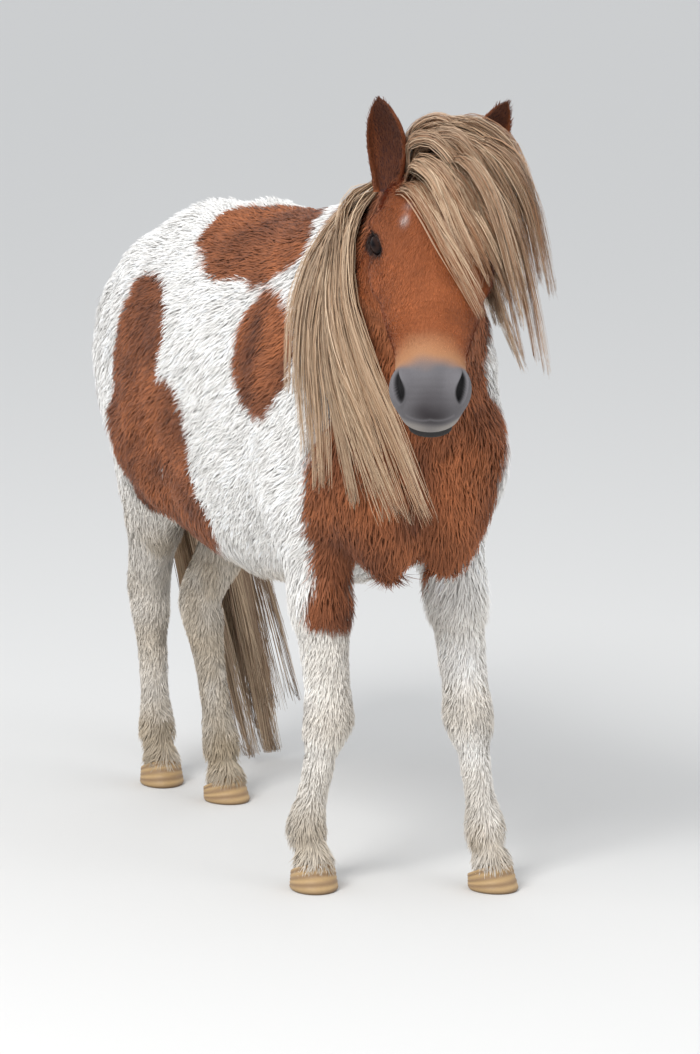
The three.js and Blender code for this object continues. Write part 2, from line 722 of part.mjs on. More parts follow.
const NECK_SHARES = [0.02, 0.16, 0.3, 0.44, 0.58, 0.72, 0.86, 0.98];
const NECK_SPINE = NECK_SHARES.map((t) => ({
  at: between(CUT.neck.at, CUT.head.at, t),
  along: unit(between(CUT.neck.normal, CUT.head.normal, t)),
}));
const neckField = (p) =>
  Math.max(blend(blend(trunk(p), neck(p), 70), head(p), 34), -beyond(CUT.neck, p) - MARGIN, inTheHead(p) - MARGIN);
const bareNeck = solidOf(wrap(neckField, NECK_SPINE, { sides: 24, fans: 2, reach: 400 }))
  .subtract(before(CUT.neck))
  .subtract(past(CUT.head).subtract(past(CUT.throat, -GAP / 2)));

// Ears: cupped leaves. A ring is a crescent that is open towards the front, and solid at the root.

const EAR_TIPS = { right: [-136, -562, 1146], left: [39, -586, 1136] };
const EAR_ROOT = [59, 26, 34]; // in the head's frame, mirrored for the right
// [share of the length, half width, depth of the cup, thickness]
const EAR_RINGS = [
  [0, 19, 16, 13],
  [0.14, 22, 18, 10],
  [0.28, 26, 19, 5.5],
  [0.42, 29, 19, 4.5],
  [0.58, 28.5, 17, 4],
  [0.73, 24, 13, 3.6],
  [0.86, 16.5, 9, 3.2],
  [0.95, 9, 5, 2.6],
];
function ear(s, tip) {
  const base = fromHead([s * EAR_ROOT[0], EAR_ROOT[1], EAR_ROOT[2]]);
  const along = unit(sub(tip, base));
  const open = turnFromHead([s * 0.42, 0.75, 0.35]);
  const front = unit(add(open, along, -dot(open, along)));
  const across = cross(along, front);
  const outer = 10;
  const inner = 7;
  const rings = EAR_RINGS.map(([t, half, cup, thick]) => {
    const bend = add(between(base, tip, t), front, -10 * Math.sin(Math.PI * t) + 4);
    const arc = (count, w, d) =>
      Array.from({ length: count }, (_, i) => {
        const a = mix(-100, 100, i / (count - 1)) * degrees;
        return add(add(bend, across, Math.sin(a) * w), front, -Math.cos(a) * d);
      });
    const back = arc(outer, half, cup);
    const hollow = arc(inner, half - thick * 0.6, cup - thick).reverse();
    return [...back, ...hollow].reverse();
  });
  const geometry = skinned(rings, base, tip);
  const solid = solidOf(geometry);
  return solid;
}

// Locks of hair: flat tapered strips that fall along the flesh from a root sunk in it. They keep off the flesh,
// and the later ones lie over the earlier ones.

const LOCK_ROOT = 9; // how deep a root sits
const LOCK_CLEAR = 6; // from the flesh to the first layer
const LAYER = 8; // from one layer to the next, a little more than a lock's thickness

// The places along a lock, each with the way out from the flesh. A lock sets out along way, then gravity and the
// wind bend it, and it never comes nearer to what it hangs over than its layer.
function strand({ from, out, way, length, steps = 5, layer = 0, fall = 0.55, wind = [0, 0, 0], over = flesh, low = 24 }) {
  const places = [{ at: add(from, out, -LOCK_ROOT), out }];
  let at = from;
  let heading = unit(way);
  for (let i = 1; i <= steps; i++) {
    const part = length / steps;
    for (let k = 0; k < 3; k++) {
      heading = unit(add(add(heading, UP, (-fall * part) / 90), wind, part / 90));
      at = add(at, heading, part / 3);
      const near = (LOCK_CLEAR + layer * LAYER) * Math.min(1, (i - 1 + (k + 1) / 3) / 1.2);
      const d = over(at);
      if (d < near) at = add(at, slope(over, at), near - d);
      if (at[2] < low) at = [at[0], at[1], low];
    }
    const last = places.at(-1).at;
    heading = unit(add(heading, unit(sub(at, last)), 0.6));
    places.push({ at, out: over(at) < 60 ? slope(over, at) : places.at(-1).out });
  }
  return places;
}

// Half widths along a lock, as shares of its width
const LOCK_TAPER = [0.34, 0.85, 1, 0.86, 0.55];

function lockSolid(places, width, thick, grow = 0) {
  const count = places.length;
  const rings = places.slice(0, -1).map(({ at, out }, i) => {
    const along = unit(sub(places[Math.min(i + 1, count - 1)].at, places[Math.max(i - 1, 0)].at));
    const side = unit(cross(along, out));
    const face = cross(side, along);
    const taper = LOCK_TAPER[Math.min(LOCK_TAPER.length - 1, Math.round((i / (count - 2)) * 4))];
    const w = width * taper + grow;
    const h = (thick * (i === 0 ? 1.2 : mix(1, 0.5, i / count))) / 2 + grow;
    return [add(at, side, w), add(at, face, h), add(at, side, -w), add(at, face, -h)];
  });
  const tip = places[count - 1].at;
  const tipWay = unit(sub(tip, places[count - 2].at));
  const rootWay = unit(sub(places[0].at, places[1].at));
  return solidOf(skinned(rings.map((r) => [r[0], r[3], r[2], r[1]]), add(places[0].at, rootWay, 1 + grow), add(tip, tipWay, grow)));
}

// Mane: rooted along the crest from the withers to the poll, most of it falling on the right

const CREST = new THREE.CatmullRomCurve3(
  [[0, -196, 760], [0, -300, 800], [-8, -388, 858], [-24, -456, 925], fromHead([0, -6, -10])].map((v) => new THREE.Vector3(...v)),
);
function crestAt(t, spread) {
  const centre = CREST.getPoint(t).toArray();
  const along = CREST.getTangent(t).toArray();
  const side = unit(add(unit(add(LEFT, headLeft, t)), along, 0));
  const up = unit(add(cross(along, side), along, 0));
  const way = unit(add(up.map((v) => v * Math.cos(spread)), side, Math.sin(spread)));
  return { from: surfaceFrom((p) => blend(trunk(p), neck(p), 70), centre, way, 300), out: way, along, side };
}

const LOCKS = { mane: 34, forelock: 14, tail: 18 };

function maneLocks() {
  const draw = drawsFrom(7);
  const list = [];
  for (let i = 0; i < LOCKS.mane; i++) {
    const t = mix(0.24, 0.99, ((i + 0.5 * draw()) / LOCKS.mane) ** 0.62);
    // The hair near the withers falls to the left, and so does some of the rest
    const s = t < 0.68 || i % 3 === 1 ? 1 : -1;
    const row = i % 3;
    const { from, out, along, side } = crestAt(t, s * (0.34 - 0.2 * row));
    const upper = ease((t - 0.66) / 0.32);
    const length = s > 0 ? mix(190, 330, upper) * (0.8 + 0.3 * draw()) : mix(400, 490, upper) * (0.86 + 0.2 * draw());
    const aside = side.map((v) => v * s * mix(0.75, 0.55, upper));
    const way = add(add(aside, out, mix(0.42, 0.8, upper)), along, 0.15 * draw() + 0.45 * upper);
    const blow = s > 0 ? mix(0.1, 0.17, upper) : mix(0.03, 0.13, upper) + 0.04 * (draw() - 0.5);
    const wind = [blow, -0.02 - 0.1 * upper, 0];
    list.push({ from, out, way, length, layer: row + 0.5 * (i % 2), wind, width: 12 + 5 * draw(), thick: 6 });
  }
  return list;
}

// Forelock: rooted at the poll, swept forwards and to the left over the brow
function forelockLocks() {
  const draw = drawsFrom(19);
  const list = [];
  for (let i = 0; i < LOCKS.forelock; i++) {
    const row = i % 3;
    const u = (i + 0.5) / LOCKS.forelock;
    const from = surfaceFrom(head, fromHead([0, 34 - 14 * row, 0]), turnFromHead([mix(-0.62, 0.7, u), -0.1, 1]), 200);
    const out = slope(head, from);
    const way = turnFromHead([mix(0.34, 0.85, u) + 0.2 * (draw() - 0.5), 0.55 + 0.1 * row, 0.75]);
    const length = mix(130, 250, ease(u * 1.2)) * (0.85 + 0.3 * draw());
    const wind = [0.09 + 0.03 * u, 0.02, 0];
    list.push({ from, out, way, length, layer: 1.4 * row, fall: 0.62, wind, width: 10 + 4 * draw(), thick: 6 });
  }
  return list;
}

const DOCK = new THREE.CatmullRomCurve3(
  [[0, 380, 852], [0, 452, 842], [6, 486, 790], [22, 498, 700], [48, 494, 600]].map((v) => new THREE.Vector3(...v)),
);
const dockField = tube(
  [0, 0.25, 0.5, 0.75, 1].map((t) => [...DOCK.getPoint(t).toArray(), mix(32, 17, t), mix(30, 17, t), mix(30, 17, t)]),
);

// Tail: its hair is rooted round the dock and all down it, and hangs to the left near the ground
function tailLocks() {
  const draw = drawsFrom(31);
  const list = [];
  const over = (p) => Math.min(flesh(p) - 14, dockField(p));
  for (let i = 0; i < LOCKS.tail; i++) {
    // Those rooted high lie over those rooted low
    const t = mix(0.94, 0.32, i / (LOCKS.tail - 1));
    const centre = DOCK.getPoint(t).toArray();
    const along = DOCK.getTangent(t).toArray();
    const a = mix(-0.3, 1.3, (i * 0.382 + 0.1 * draw()) % 1) * Math.PI;
    const out = unit(add([Math.cos(a), 0, 0], cross(LEFT, along), -Math.sin(a)));
    const from = surfaceFrom(dockField, centre, out, 80);
    const length = (from[2] - mix(30, 200, draw() ** 2)) * 1.02;
    const wind = [0.19 + 0.09 * (draw() - 0.5), -0.05, 0];
    const layer = (2.6 * i) / LOCKS.tail;
    list.push({ from, out, way: add(along, out, 0.5), length, layer, wind, fall: 0.8, over, width: 12 + 5 * draw(), thick: 7 });
  }
  return list;
}

const solidsOf = (list, grow = 0) => {
  for (const lock of list) lock.places ??= strand(lock);
  return list.map((lock) => lockSolid(lock.places, lock.width, lock.thick, grow));
};

// Adds locks one by one. One that would meet the rest along a bare edge is made a little narrower first.
function grown(base, list, skins) {
  let solid = base;
  solidsOf(list);
  for (const lock of list)
    for (const share of [1, 0.95, 0.9, 0.84]) {
      const cut = skins.reduce((made, skin) => made.subtract(skin), lockSolid(lock.places, lock.width * share, lock.thick));
      const next = largest(solid.add(cut));
      if (!isSound(next)) continue;
      solid = next;
      break;
    }
  return solid;
}

const forelock = forelockLocks();
const mane = maneLocks();
const headSkin = headAt(2 * GAP)
  .add(eyes[0].lidSkin)
  .add(eyes[1].lidSkin)
  .subtract(before(CUT.head))
  .subtract(past(CUT.throat));
const forelockSkin = joined(solidsOf(forelock, 3 * GAP));
node("head", grown(bareHead, forelock, []), chestnutMaterial);
node("neck", grown(bareNeck, mane, [forelockSkin, headSkin, torsoSkin]), chestnutMaterial);
node("ear_right", ear(-1, EAR_TIPS.right).subtract(headSkin).subtract(forelockSkin), chestnutMaterial);
node("ear_left", ear(1, EAR_TIPS.left).subtract(headSkin).subtract(forelockSkin), chestnutMaterial);

const dockSpine = [0.2, 0.3, 0.42, 0.55, 0.68, 0.8, 0.9].map((t) => ({
  at: DOCK.getPoint(t).toArray(),
  along: DOCK.getTangent(t).toArray(),
}));
const dock = solidOf(wrap(dockField, dockSpine, { sides: 12, fans: 2, reach: 90 }));
node("tail", grown(dock.subtract(torsoSkin), tailLocks(), [torsoSkin]), tailMaterial);

export default root;
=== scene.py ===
import math

import bmesh
import bpy
import numpy as np
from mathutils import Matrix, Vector


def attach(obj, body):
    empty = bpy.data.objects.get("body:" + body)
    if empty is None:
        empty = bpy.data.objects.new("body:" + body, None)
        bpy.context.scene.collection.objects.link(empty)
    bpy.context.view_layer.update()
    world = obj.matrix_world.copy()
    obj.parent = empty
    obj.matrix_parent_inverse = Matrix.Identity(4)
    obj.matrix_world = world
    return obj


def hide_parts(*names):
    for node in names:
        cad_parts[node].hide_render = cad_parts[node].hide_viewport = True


# A life-size Shetland pony in its winter coat. Shapes are worked out in millimetres in the pony's own frame,
# X to its left, Y to its rear and Z up, and are set over the frame's origin when they become meshes.

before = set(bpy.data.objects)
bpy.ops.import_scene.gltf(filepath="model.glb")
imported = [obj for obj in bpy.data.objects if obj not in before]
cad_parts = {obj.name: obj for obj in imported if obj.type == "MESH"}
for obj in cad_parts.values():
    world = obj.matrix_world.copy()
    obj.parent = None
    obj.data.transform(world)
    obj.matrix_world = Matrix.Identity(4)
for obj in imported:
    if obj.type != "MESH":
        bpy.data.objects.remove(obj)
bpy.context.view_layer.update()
SHIFT = np.array([-0.0135, 0.1205, 0.0])


def placed(name, data):
    ob = bpy.data.objects.new(name, data)
    bpy.context.collection.objects.link(ob)
    return ob


# Camera

YAW, PITCH = math.radians(26.0), math.radians(9.337)
LENS, SENSOR = 137.3, 36.0
CAMERA_PLACE = (-2.5455, -5.2605, 1.45)
camera = placed("camera", bpy.data.cameras.new("camera"))
camera.data.lens, camera.data.sensor_width = LENS, SENSOR
camera.location = CAMERA_PLACE
look = Vector((math.sin(YAW) * math.cos(PITCH), math.cos(YAW) * math.cos(PITCH), -math.sin(PITCH)))
camera.rotation_euler = look.to_track_quat("-Z", "Y").to_euler()
camera.data.clip_end = 200
bpy.context.scene.camera = camera

# Numbers and small tools

WITHERS, BACK, CROUP, BELLY = 974, 952, 958, 396
BARREL_HALF, CHEST_HALF, HIP_HALF = 188, 146, 145
KNEE, HOCK, FETLOCK, HOOF_HALF = 250, 318, 86, 35
HEAD_TURN, HEAD_DROP = math.radians(27.5), math.radians(42)
EYE = 18
# Where each foot stands, and the turn of its toe in degrees
FEET = {
    "fore_right": (-115, -307, -14),
    "fore_left": (116, -418, 10),
    "hind_right": (-44, 408, -12),
    "hind_left": (0, 256, 12),
}
UP, LEFT = np.array([0.0, 0, 1]), np.array([1.0, 0, 0])
FAR, MARGIN = 400.0, 130
NECK_FILLET, HEAD_FILLET, LEG_FILLET = 70, 34, 46


def vec(*v):
    return np.array(v, float)


def size(v):
    return np.sqrt(np.sum(v * v, -1))


def unit(v):
    return v / np.maximum(size(v), 1e-9)[..., None]


def dot(a, b):
    return np.sum(a * b, -1)


def mix(a, b, t):
    return a + (b - a) * t


def ease(t):
    c = np.clip(t, 0, 1)
    return c * c * (3 - 2 * c)


def ramp(t, a, b):
    return ease((t - a) / (b - a))


def bell(d, width):
    return np.exp(-((d / width) ** 2))


def spot(p, centre, half):
    return np.exp(-(size((p - vec(*centre)) / vec(*half)) ** 2))


def draws_from(seed):
    """Random numbers from 0 to 1, the same on each run."""
    state = [seed]

    def draw():
        state[0] = (state[0] * 1664525 + 1013904223) % 4294967296
        return state[0] / 4294967296

    return draw


def noise(p, scale, seed=0):
    """Smooth random values from -1 to 1 that change over about scale millimetres."""
    q = p / scale + seed * 7.31
    i = np.floor(q).astype(np.int64)
    f = ease(q - i)

    def at(a, b, c):
        n = (i[:, 0] + a) * 374761393 + (i[:, 1] + b) * 668265263 + (i[:, 2] + c) * 2147483647 + seed * 97531
        n = ((n ^ (n >> 13)) * 1274126177) & 0xFFFFFFFF
        return ((n ^ (n >> 16)) & 0xFFFF) / 32767.5 - 1

    x0 = [mix(at(0, b, c), at(1, b, c), f[:, 0]) for b in (0, 1) for c in (0, 1)]
    return mix(mix(x0[0], x0[2], f[:, 1]), mix(x0[1], x0[3], f[:, 1]), f[:, 2])


def noise_vectors(p, scale, seed):
    return np.stack([noise(p, scale, seed + k) for k in range(3)], 1)


def spline(points):
    """A centripetal Catmull-Rom curve through the points."""
    p = np.array(points, float)
    n = len(p)
    q = np.vstack([2 * p[0] - p[1], p, 2 * p[-1] - p[-2]])

    def at(t):
        u = np.clip(np.atleast_1d(t), 0, 1) * (n - 1)
        i = np.minimum(u.astype(int), n - 2)
        w = (u - i)[:, None]
        a, b, c, d = q[i], q[i + 1], q[i + 2], q[i + 3]
        k0, k1, k2 = (np.sqrt(size(y - x))[:, None] for x, y in ((a, b), (b, c), (c, d)))
        k1 = np.where(k1 < 1e-4, 1, k1)
        k0, k2 = np.where(k0 < 1e-4, k1, k0), np.where(k2 < 1e-4, k1, k2)
        m1 = ((b - a) / k0 - (c - a) / (k0 + k1) + (c - b) / k1) * k1
        m2 = ((c - b) / k1 - (d - b) / (k1 + k2) + (d - c) / k2) * k1
        return b + m1 * w + (-3 * b + 3 * c - 2 * m1 - m2) * w**2 + (2 * b - 2 * c + m1 + m2) * w**3

    return at


def tangent(curve, t):
    t = np.atleast_1d(t)
    return unit(curve(np.minimum(t + 1e-4, 1)) - curve(np.maximum(t - 1e-4, 0)))


# Fields of distance to a surface, negative inside


def egg_distance(u, v, w, a, b, c):
    p, q, r = u / a, v / b, w / c
    k0 = np.sqrt(p * p + q * q + r * r)
    k1 = np.sqrt((p / a) ** 2 + (q / b) ** 2 + (r / c) ** 2)
    return k0 * (k0 - 1) / np.maximum(k1, 1e-6)


def egg(centre, half, lean=0.0):
    """An egg shape of three half sizes, leaned in degrees about the pony's left."""
    c, s = math.cos(math.radians(lean)), math.sin(math.radians(lean))
    reach = max(half) + MARGIN

    def field(p):
        x, y, z = (p - vec(*centre)).T
        d = egg_distance(x, y * c - z * s, y * s + z * c, *half)
        return np.where(x * x + y * y + z * z > reach * reach, FAR, d)

    return field


def tube(stations, across=LEFT, steps=4, cap=0.7):
    """A tube through stations of x, y, z, half width and its sizes on the plus and the minus side."""
    s = np.array(stations, float)
    n = (len(s) - 1) * steps
    t = np.linspace(0, 1, n + 1)
    curve, sizes = spline(s[:, :3]), spline(s[:, 3:])
    at, along, half = curve(t), tangent(curve, t), sizes(t)
    side = unit(across - along * (along @ across)[:, None])
    plus = np.cross(side, along)
    reach = half.max() + MARGIN
    low, high = at.min(0) - reach, at.max(0) + reach

    def field(p):
        best = np.full(len(p), FAR)
        inside = np.flatnonzero(np.all((p > low) & (p < high), 1))
        for i in range(n):
            d = at[i + 1] - at[i]
            length = math.sqrt(d @ d)
            k = p[inside] - (at[i] + at[i + 1]) / 2
            most = max(half[i].max(), half[i + 1].max()) + length / 2
            gap = np.sqrt(np.einsum("ij,ij->i", k, k)) - most
            index = inside[gap < np.minimum(best[inside], MARGIN)]
            if len(index) == 0:
                continue
            r = p[index] - at[i]
            w = np.clip(r @ d / (d @ d), 0, 1)
            q = r - w[:, None] * d
            h = mix(half[i], half[i + 1], w[:, None])
            v = np.einsum("ij,ij->i", q, mix(plus[i], plus[i + 1], w[:, None]))
            u = np.einsum("ij,ij->i", q, mix(side[i], side[i + 1], w[:, None]))
            z = np.where(w == 0, q @ along[i], np.where(w == 1, q @ along[i + 1], 0))
            e = egg_distance(u, v, z, h[:, 0], np.where(v > 0, h[:, 1], h[:, 2]), cap * h.min(1))
            best[index] = np.minimum(best[index], e)
        return best

    return field


def blend(a, b, k):
    """Joins two fields with a soft fillet about k wide."""
    h = np.maximum(k - np.abs(a - b), 0)
    return np.minimum(a, b) - h * h / (4 * k)


def fused(*parts):
    def field(p):
        d = parts[0][0](p)
        for f, k in parts[1:]:
            d = blend(d, f(p), k)
        return d

    return field


def pair(centre, half, lean, k):
    """The same egg on the right and the left, each blended in over k."""
    return [(egg([s * centre[0], *centre[1:]], half, lean), k) for s in (-1, 1)]


def slope(field, p, e=1.0):
    d = field(p)
    return unit(np.stack([field(p + e * a) - d for a in np.eye(3)], -1))


# Trunk

TRUNK = [
    [0, -400, 655, 100, 120, 125],
    [0, -340, 662, 132, WITHERS - 700, 198],
    [0, -240, 668, CHEST_HALF + 8, WITHERS - 668, 232],
    [0, -120, 662, BARREL_HALF - 14, BACK + 6 - 662, 660 - BELLY - 12],
    [0, 0, 658, BARREL_HALF, BACK - 658, 658 - BELLY],
    [0, 120, 664, BARREL_HALF - 2, BACK + 8 - 664, 664 - BELLY - 10],
    [0, 225, 690, BARREL_HALF - 20, CROUP - 692, 236],
    [0, 320, 718, HIP_HALF - 8, CROUP - 722, 200],
    [0, 400, 738, HIP_HALF - 34, CROUP - 778, 150],
    [0, 450, 745, 84, 112, 100],
]
trunk = fused(
    (tube(TRUNK, cap=0.5), 1),
    *pair([98, -285, 700], [58, 118, 165], 14, 60),
    *pair([84, -372, 610], [62, 72, 92], -12, 50),
    *pair([48, -395, 560], [58, 58, 92], 8, 40),
    *pair([108, -262, 585], [48, 86, 90], 0, 45),
    *pair([92, 315, 690], [HIP_HALF - 92, 145, 190], -6, 60),
    *pair([66, 420, 690], [66, 82, 132], -8, 50),
    *pair([112, 215, 585], [58, 78, 95], 20, 60),
)

# Legs. A station is [share of the way to the next joint, side, back, front].

FOOT = [[0, 29, 35, 28], [0.4, 23, 27, 24], [0.75, 27, 28, 30], [1, 29, 30, 33]]
FOREARM = [[0, 54, 72, 66], [0.22, 49, 62, 58], [0.45, 43, 48, 50], [0.68, 36, 38, 42], [0.86, 34, 33, 37]]
FORE_CANNON = [[0, 38, 36, 38], [0.14, 35, 34, 34], [0.34, 24, 29, 25], [0.7, 22, 28, 23]]
GASKIN = [[0, 66, 118, 88], [0.25, 59, 92, 76], [0.5, 48, 64, 60], [0.75, 37, 44, 42]]
HIND_CANNON = [[0, 34, 46, 36], [0.16, 32, 38, 34], [0.36, 25, 30, 28], [0.72, 23, 29, 24]]


def leg_tube(joints, parts):
    rows = []
    for i, stations in enumerate(parts):
        a, b = np.array(joints[i], float), np.array(joints[min(i + 1, len(joints) - 1)], float)
        rows += [[*mix(a, b, t), *half] for t, *half in stations]
    return tube(rows)


def leg(name, top, middle):
    """The joints of a leg from its top over its knee or hock to its foot, and its field."""
    x, y, _ = FEET[name]
    if name.startswith("fore"):
        fetlock, parts = [x, y + 22, FETLOCK], [FOREARM, FORE_CANNON, FOOT]
    else:
        fetlock, parts = [x, y + 18, FETLOCK + 2], [GASKIN, HIND_CANNON, FOOT]
    joints = [top, middle, fetlock, [x, y, 30]]
    return joints, leg_tube(joints, parts)


LEGS = {
    "fore_right": leg("fore_right", [-104, -288, 560], [-92, -308, KNEE]),
    "fore_left": leg("fore_left", [104, -288, 560], [99, -372, KNEE]),
    "hind_right": leg("hind_right", [-96, 282, 590], [-56, 424, HOCK]),
    "hind_left": leg("hind_left", [92, 245, 590], [-16, 312, HOCK - 4]),
}

# Head, in its own frame: X to its left, Y from the poll to the lips and Z out of the forehead

facing = vec(-math.sin(HEAD_TURN), -math.cos(HEAD_TURN), 0)
muzzle_way = facing * math.cos(HEAD_DROP) - UP * math.sin(HEAD_DROP)
brow_way = facing * math.sin(HEAD_DROP) + UP * math.cos(HEAD_DROP)
head_left = np.cross(UP, facing)
EYE_IN_HEAD = vec(65, 116, 27)
head_origin = vec(-89, -620, 952) - muzzle_way * 116 - brow_way * 27
HEAD_AXES = np.stack([head_left, muzzle_way, brow_way])


def from_head(q):
    return head_origin + np.asarray(q, float) @ HEAD_AXES


def turn_from_head(q):
    return np.asarray(q, float) @ HEAD_AXES


def to_head(p):
    return (p - head_origin) @ HEAD_AXES.T


SKULL = [
    [0, -20, 4, 52, 54, 60],
    [0, 35, 10, 69, 64, 84],
    [0, 105, 12, 79, 64, 86],
    [0, 165, 4, 74, 58, 75],
    [0, 225, 0, 63, 50, 62],
    [0, 285, -6, 48, 43, 52],
    [0, 335, -12, 47, 37, 44],
    [0, 366, -18, 42, 28, 32],
]
JAW = [
    [0, 66, -60, 50, 40, 50],
    [0, 130, -74, 50, 40, 40],
    [0, 200, -74, 40, 32, 28],
    [0, 270, -70, 33, 26, 22],
    [0, 325, -68, 33, 20, 18],
    [0, 356, -66, 29, 14, 15],
]
head_shape = fused(
    (tube(SKULL, cap=0.75), 1),
    (tube(JAW, cap=0.9), 22),
    *pair([44, 88, -52], [29, 66, 56], 0, 16),
    *pair([61, 104, 44], [25, 34, 17], 0, 16),
    *pair([70, 142, 2], [14, 42, 12], 0, 16),
    *pair([37, 346, 0], [17, 26, 26], 0, 14),
    (egg([0, 358, -34], [36, 26, 20]), 12),
)


def head(p):
    return head_shape(to_head(p))


neck = tube(
    [
        [0, -190, 735, 118, 150, 160],
        [0, -300, 792, 114, 158, 158],
        [-8, -388, 852, 100, 132, 140],
        [-24, -456, 920, 86, 104, 122],
        [*from_head([0, 16, -22]), 64, 80, 84],
        [*from_head([0, 60, -30]), 50, 60, 60],
    ],
    across=unit(LEFT + head_left),
)


def neck_and_trunk(p):
    return blend(trunk(p), neck(p), NECK_FILLET)


def flesh(p):
    body = blend(neck_and_trunk(p), head(p), HEAD_FILLET)
    return np.minimum.reduce([blend(body, field(p), LEG_FILLET) for _, field in LEGS.values()])


def grid(field, low, high, cell, coarse=None, near=0):
    """A coarser grid tells which points are far from the surface, and those keep its values."""
    n = [int((b - a) / cell) + 1 for a, b in zip(low, high)]
    axes = [a + cell * np.arange(k) for a, k in zip(low, n)]
    points = np.stack(np.meshgrid(*axes, indexing="ij"), -1).reshape(-1, 3)
    if coarse:
        values = coarse(points)
        close = np.flatnonzero(np.abs(values) < near)
        values[close] = field(points[close])
    else:
        values = field(points)
    v = values.reshape(n)

    def between(p):
        q = np.clip((p - vec(*low)) / cell, 0, vec(*n) - 1.001)
        i = q.astype(int)
        f = q - i
        a, b, c = i.T
        x = [mix(v[a, b + j, c + k], v[a + 1, b + j, c + k], f[:, 0]) for j in (0, 1) for k in (0, 1)]
        return mix(mix(x[0], x[2], f[:, 1]), mix(x[1], x[3], f[:, 1]), f[:, 2])

    return between


LOW, HIGH = (-330, -880, -10), (340, 640, 1230)
rough = grid(flesh, LOW, HIGH, 10, grid(flesh, LOW, HIGH, 20), 32)


def coat_depth(p):
    """How far the skin lies under the tips of the coat."""
    hx, hy, hz = to_head(p).T
    on_head = ramp(hy, -10, 60) * (1 - ramp(np.abs(hz), 150, 190)) * (np.abs(hx) < 110)
    on_leg = (1 - ramp(p[:, 2], 380, 520)) * (1 - on_head)
    return mix(mix(9.0, 5.0, on_leg), mix(2.2, 0.4, ramp(hy, 250, 320)), on_head)


def skin_field(p):
    return flesh(p) + coat_depth(p)


# The skin: a net over the field on a fine grid, with each vertex drawn onto the surface


def net(field, quick_field, low, high, cell):
    """Points near the field's surface, one in each cell that it crosses, and the quads between them."""
    low = vec(*low)
    n = np.array([int((b - a) / cell) + 1 for a, b in zip(low, high)])
    values = np.empty(n, np.float32)
    ys = low[1] + cell * np.arange(n[1])
    zs = low[2] + cell * np.arange(n[2])
    for i in range(n[0]):
        p = np.stack(np.meshgrid([low[0] + cell * i], ys, zs, indexing="ij"), -1).reshape(-1, 3)
        values[i] = quick_field(p).reshape(n[1:])
    near = np.argwhere(np.abs(values) < 9)
    p = low + near * cell
    values[tuple(near.T)] = field(p)
    values = np.where(values == 0, 1e-3, values)
    inside = values < 0
    steps = np.eye(3, dtype=int)
    corner = np.argwhere(np.ones((2, 2, 2)))

    def window(start, shape):
        return inside[tuple(slice(a, a + k) for a, k in zip(start, shape))]

    count = sum(window(c, n - 1).astype(int) for c in corner)
    cells = np.argwhere((count > 0) & (count < 8))
    ids = np.full(n - 1, -1)
    ids[tuple(cells.T)] = np.arange(len(cells))
    total = np.zeros((len(cells), 3))
    met = np.zeros(len(cells))
    for a in corner:
        for step in steps[a == 0]:
            va, vb = (values[tuple((cells + c).T)].astype(float) for c in (a, a + step))
            cross = (va < 0) != (vb < 0)
            w = np.where(cross, va / np.where(cross, va - vb, 1), 0)
            total += (a + w[:, None] * step) * cross[:, None]
            met += cross
    verts = low + (cells + total / met[:, None]) * cell
    quads = []
    for axis in range(3):
        step, u, w = np.roll(steps, -axis, 0)
        here, there = window((0, 0, 0), n - step), window(step, n - step)
        edge = np.argwhere(here != there)
        edge = edge[np.all(edge - u - w >= 0, 1) & np.all(edge < n - 1, 1)]
        flip = ~here[tuple(edge.T)]
        q = [ids[tuple((edge - a * u - b * w).T)] for a, b in ((1, 1), (0, 1), (0, 0), (1, 0))]
        q = np.stack(q, 1)
        q[flip] = q[flip][:, ::-1]
        quads.append(q)
    quads = np.concatenate(quads)
    return verts, quads[np.all(quads >= 0, 1)]


def to_scene(p):
    return p * 0.001 + SHIFT


def mesh_object(name, verts, faces):
    mesh = bpy.data.meshes.new(name)
    mesh.from_pydata(to_scene(verts), [], faces)
    mesh.shade_smooth()
    return placed(name, mesh)


def read(items, key, kind=float):
    values = np.empty(len(items) * 3, kind)
    items.foreach_get(key, values)
    return values.reshape(-1, 3)


def corners_of(mesh):
    """The mesh's points, in the pony's millimetres, and their normals."""
    return (read(mesh.vertices, "co") - SHIFT) * 1000, read(mesh.vertices, "normal")


def drawn_onto(field, p, guide=None):
    """Moves points onto the field's surface, along the slope of the guide or of the field."""
    for _ in range(2):
        d = np.clip(field(p), -4.0, 4.0)
        p = p - slope(guide or field, p, 5.0 if guide else 1.0) * d[:, None]
    return p


SKIN_CELL = 7
SKIN_LOW, SKIN_HIGH = (-330, -880, 8), (340, 560, 1120)
verts, quads = net(skin_field, lambda p: rough(p) + coat_depth(p), SKIN_LOW, SKIN_HIGH, SKIN_CELL)
skin = mesh_object("skin", drawn_onto(skin_field, verts, rough), quads)


def edited(mesh, edit):
    bm = bmesh.new()
    bm.from_mesh(mesh)
    edit(bm)
    bm.to_mesh(mesh)
    bm.free()
    mesh.shade_smooth()


def refine(mesh, chosen):
    """Splits each edge whose two ends are chosen."""

    def split(bm):
        edges = [e for e in bm.edges if chosen[e.verts[0].index] and chosen[e.verts[1].index]]
        bmesh.ops.subdivide_edges(bm, edges=edges, cuts=1, use_grid_fill=True)

    edited(mesh, split)


def head_skin_field(p):
    return blend(neck(p), head(p), HEAD_FILLET) + coat_depth(p)


def in_head(p, start=40):
    hx, hy, hz = to_head(p).T
    return (hy > start) & (np.abs(hx) < 100) & (hz > -135) & (hz < 95)


def mirrored(h):
    """Places in the head with those on its right brought over to its left."""
    return np.where([True, False, False], np.abs(h), h)


# Face: lids round the eyes, nostrils and the mouth line, as moves of the fine skin

GAZE = unit(vec(0.78, 0.38, 0.5))
NOSTRIL = vec(41, 357, 15)
LID_HALF = 17.2
MOUTH = -50.0


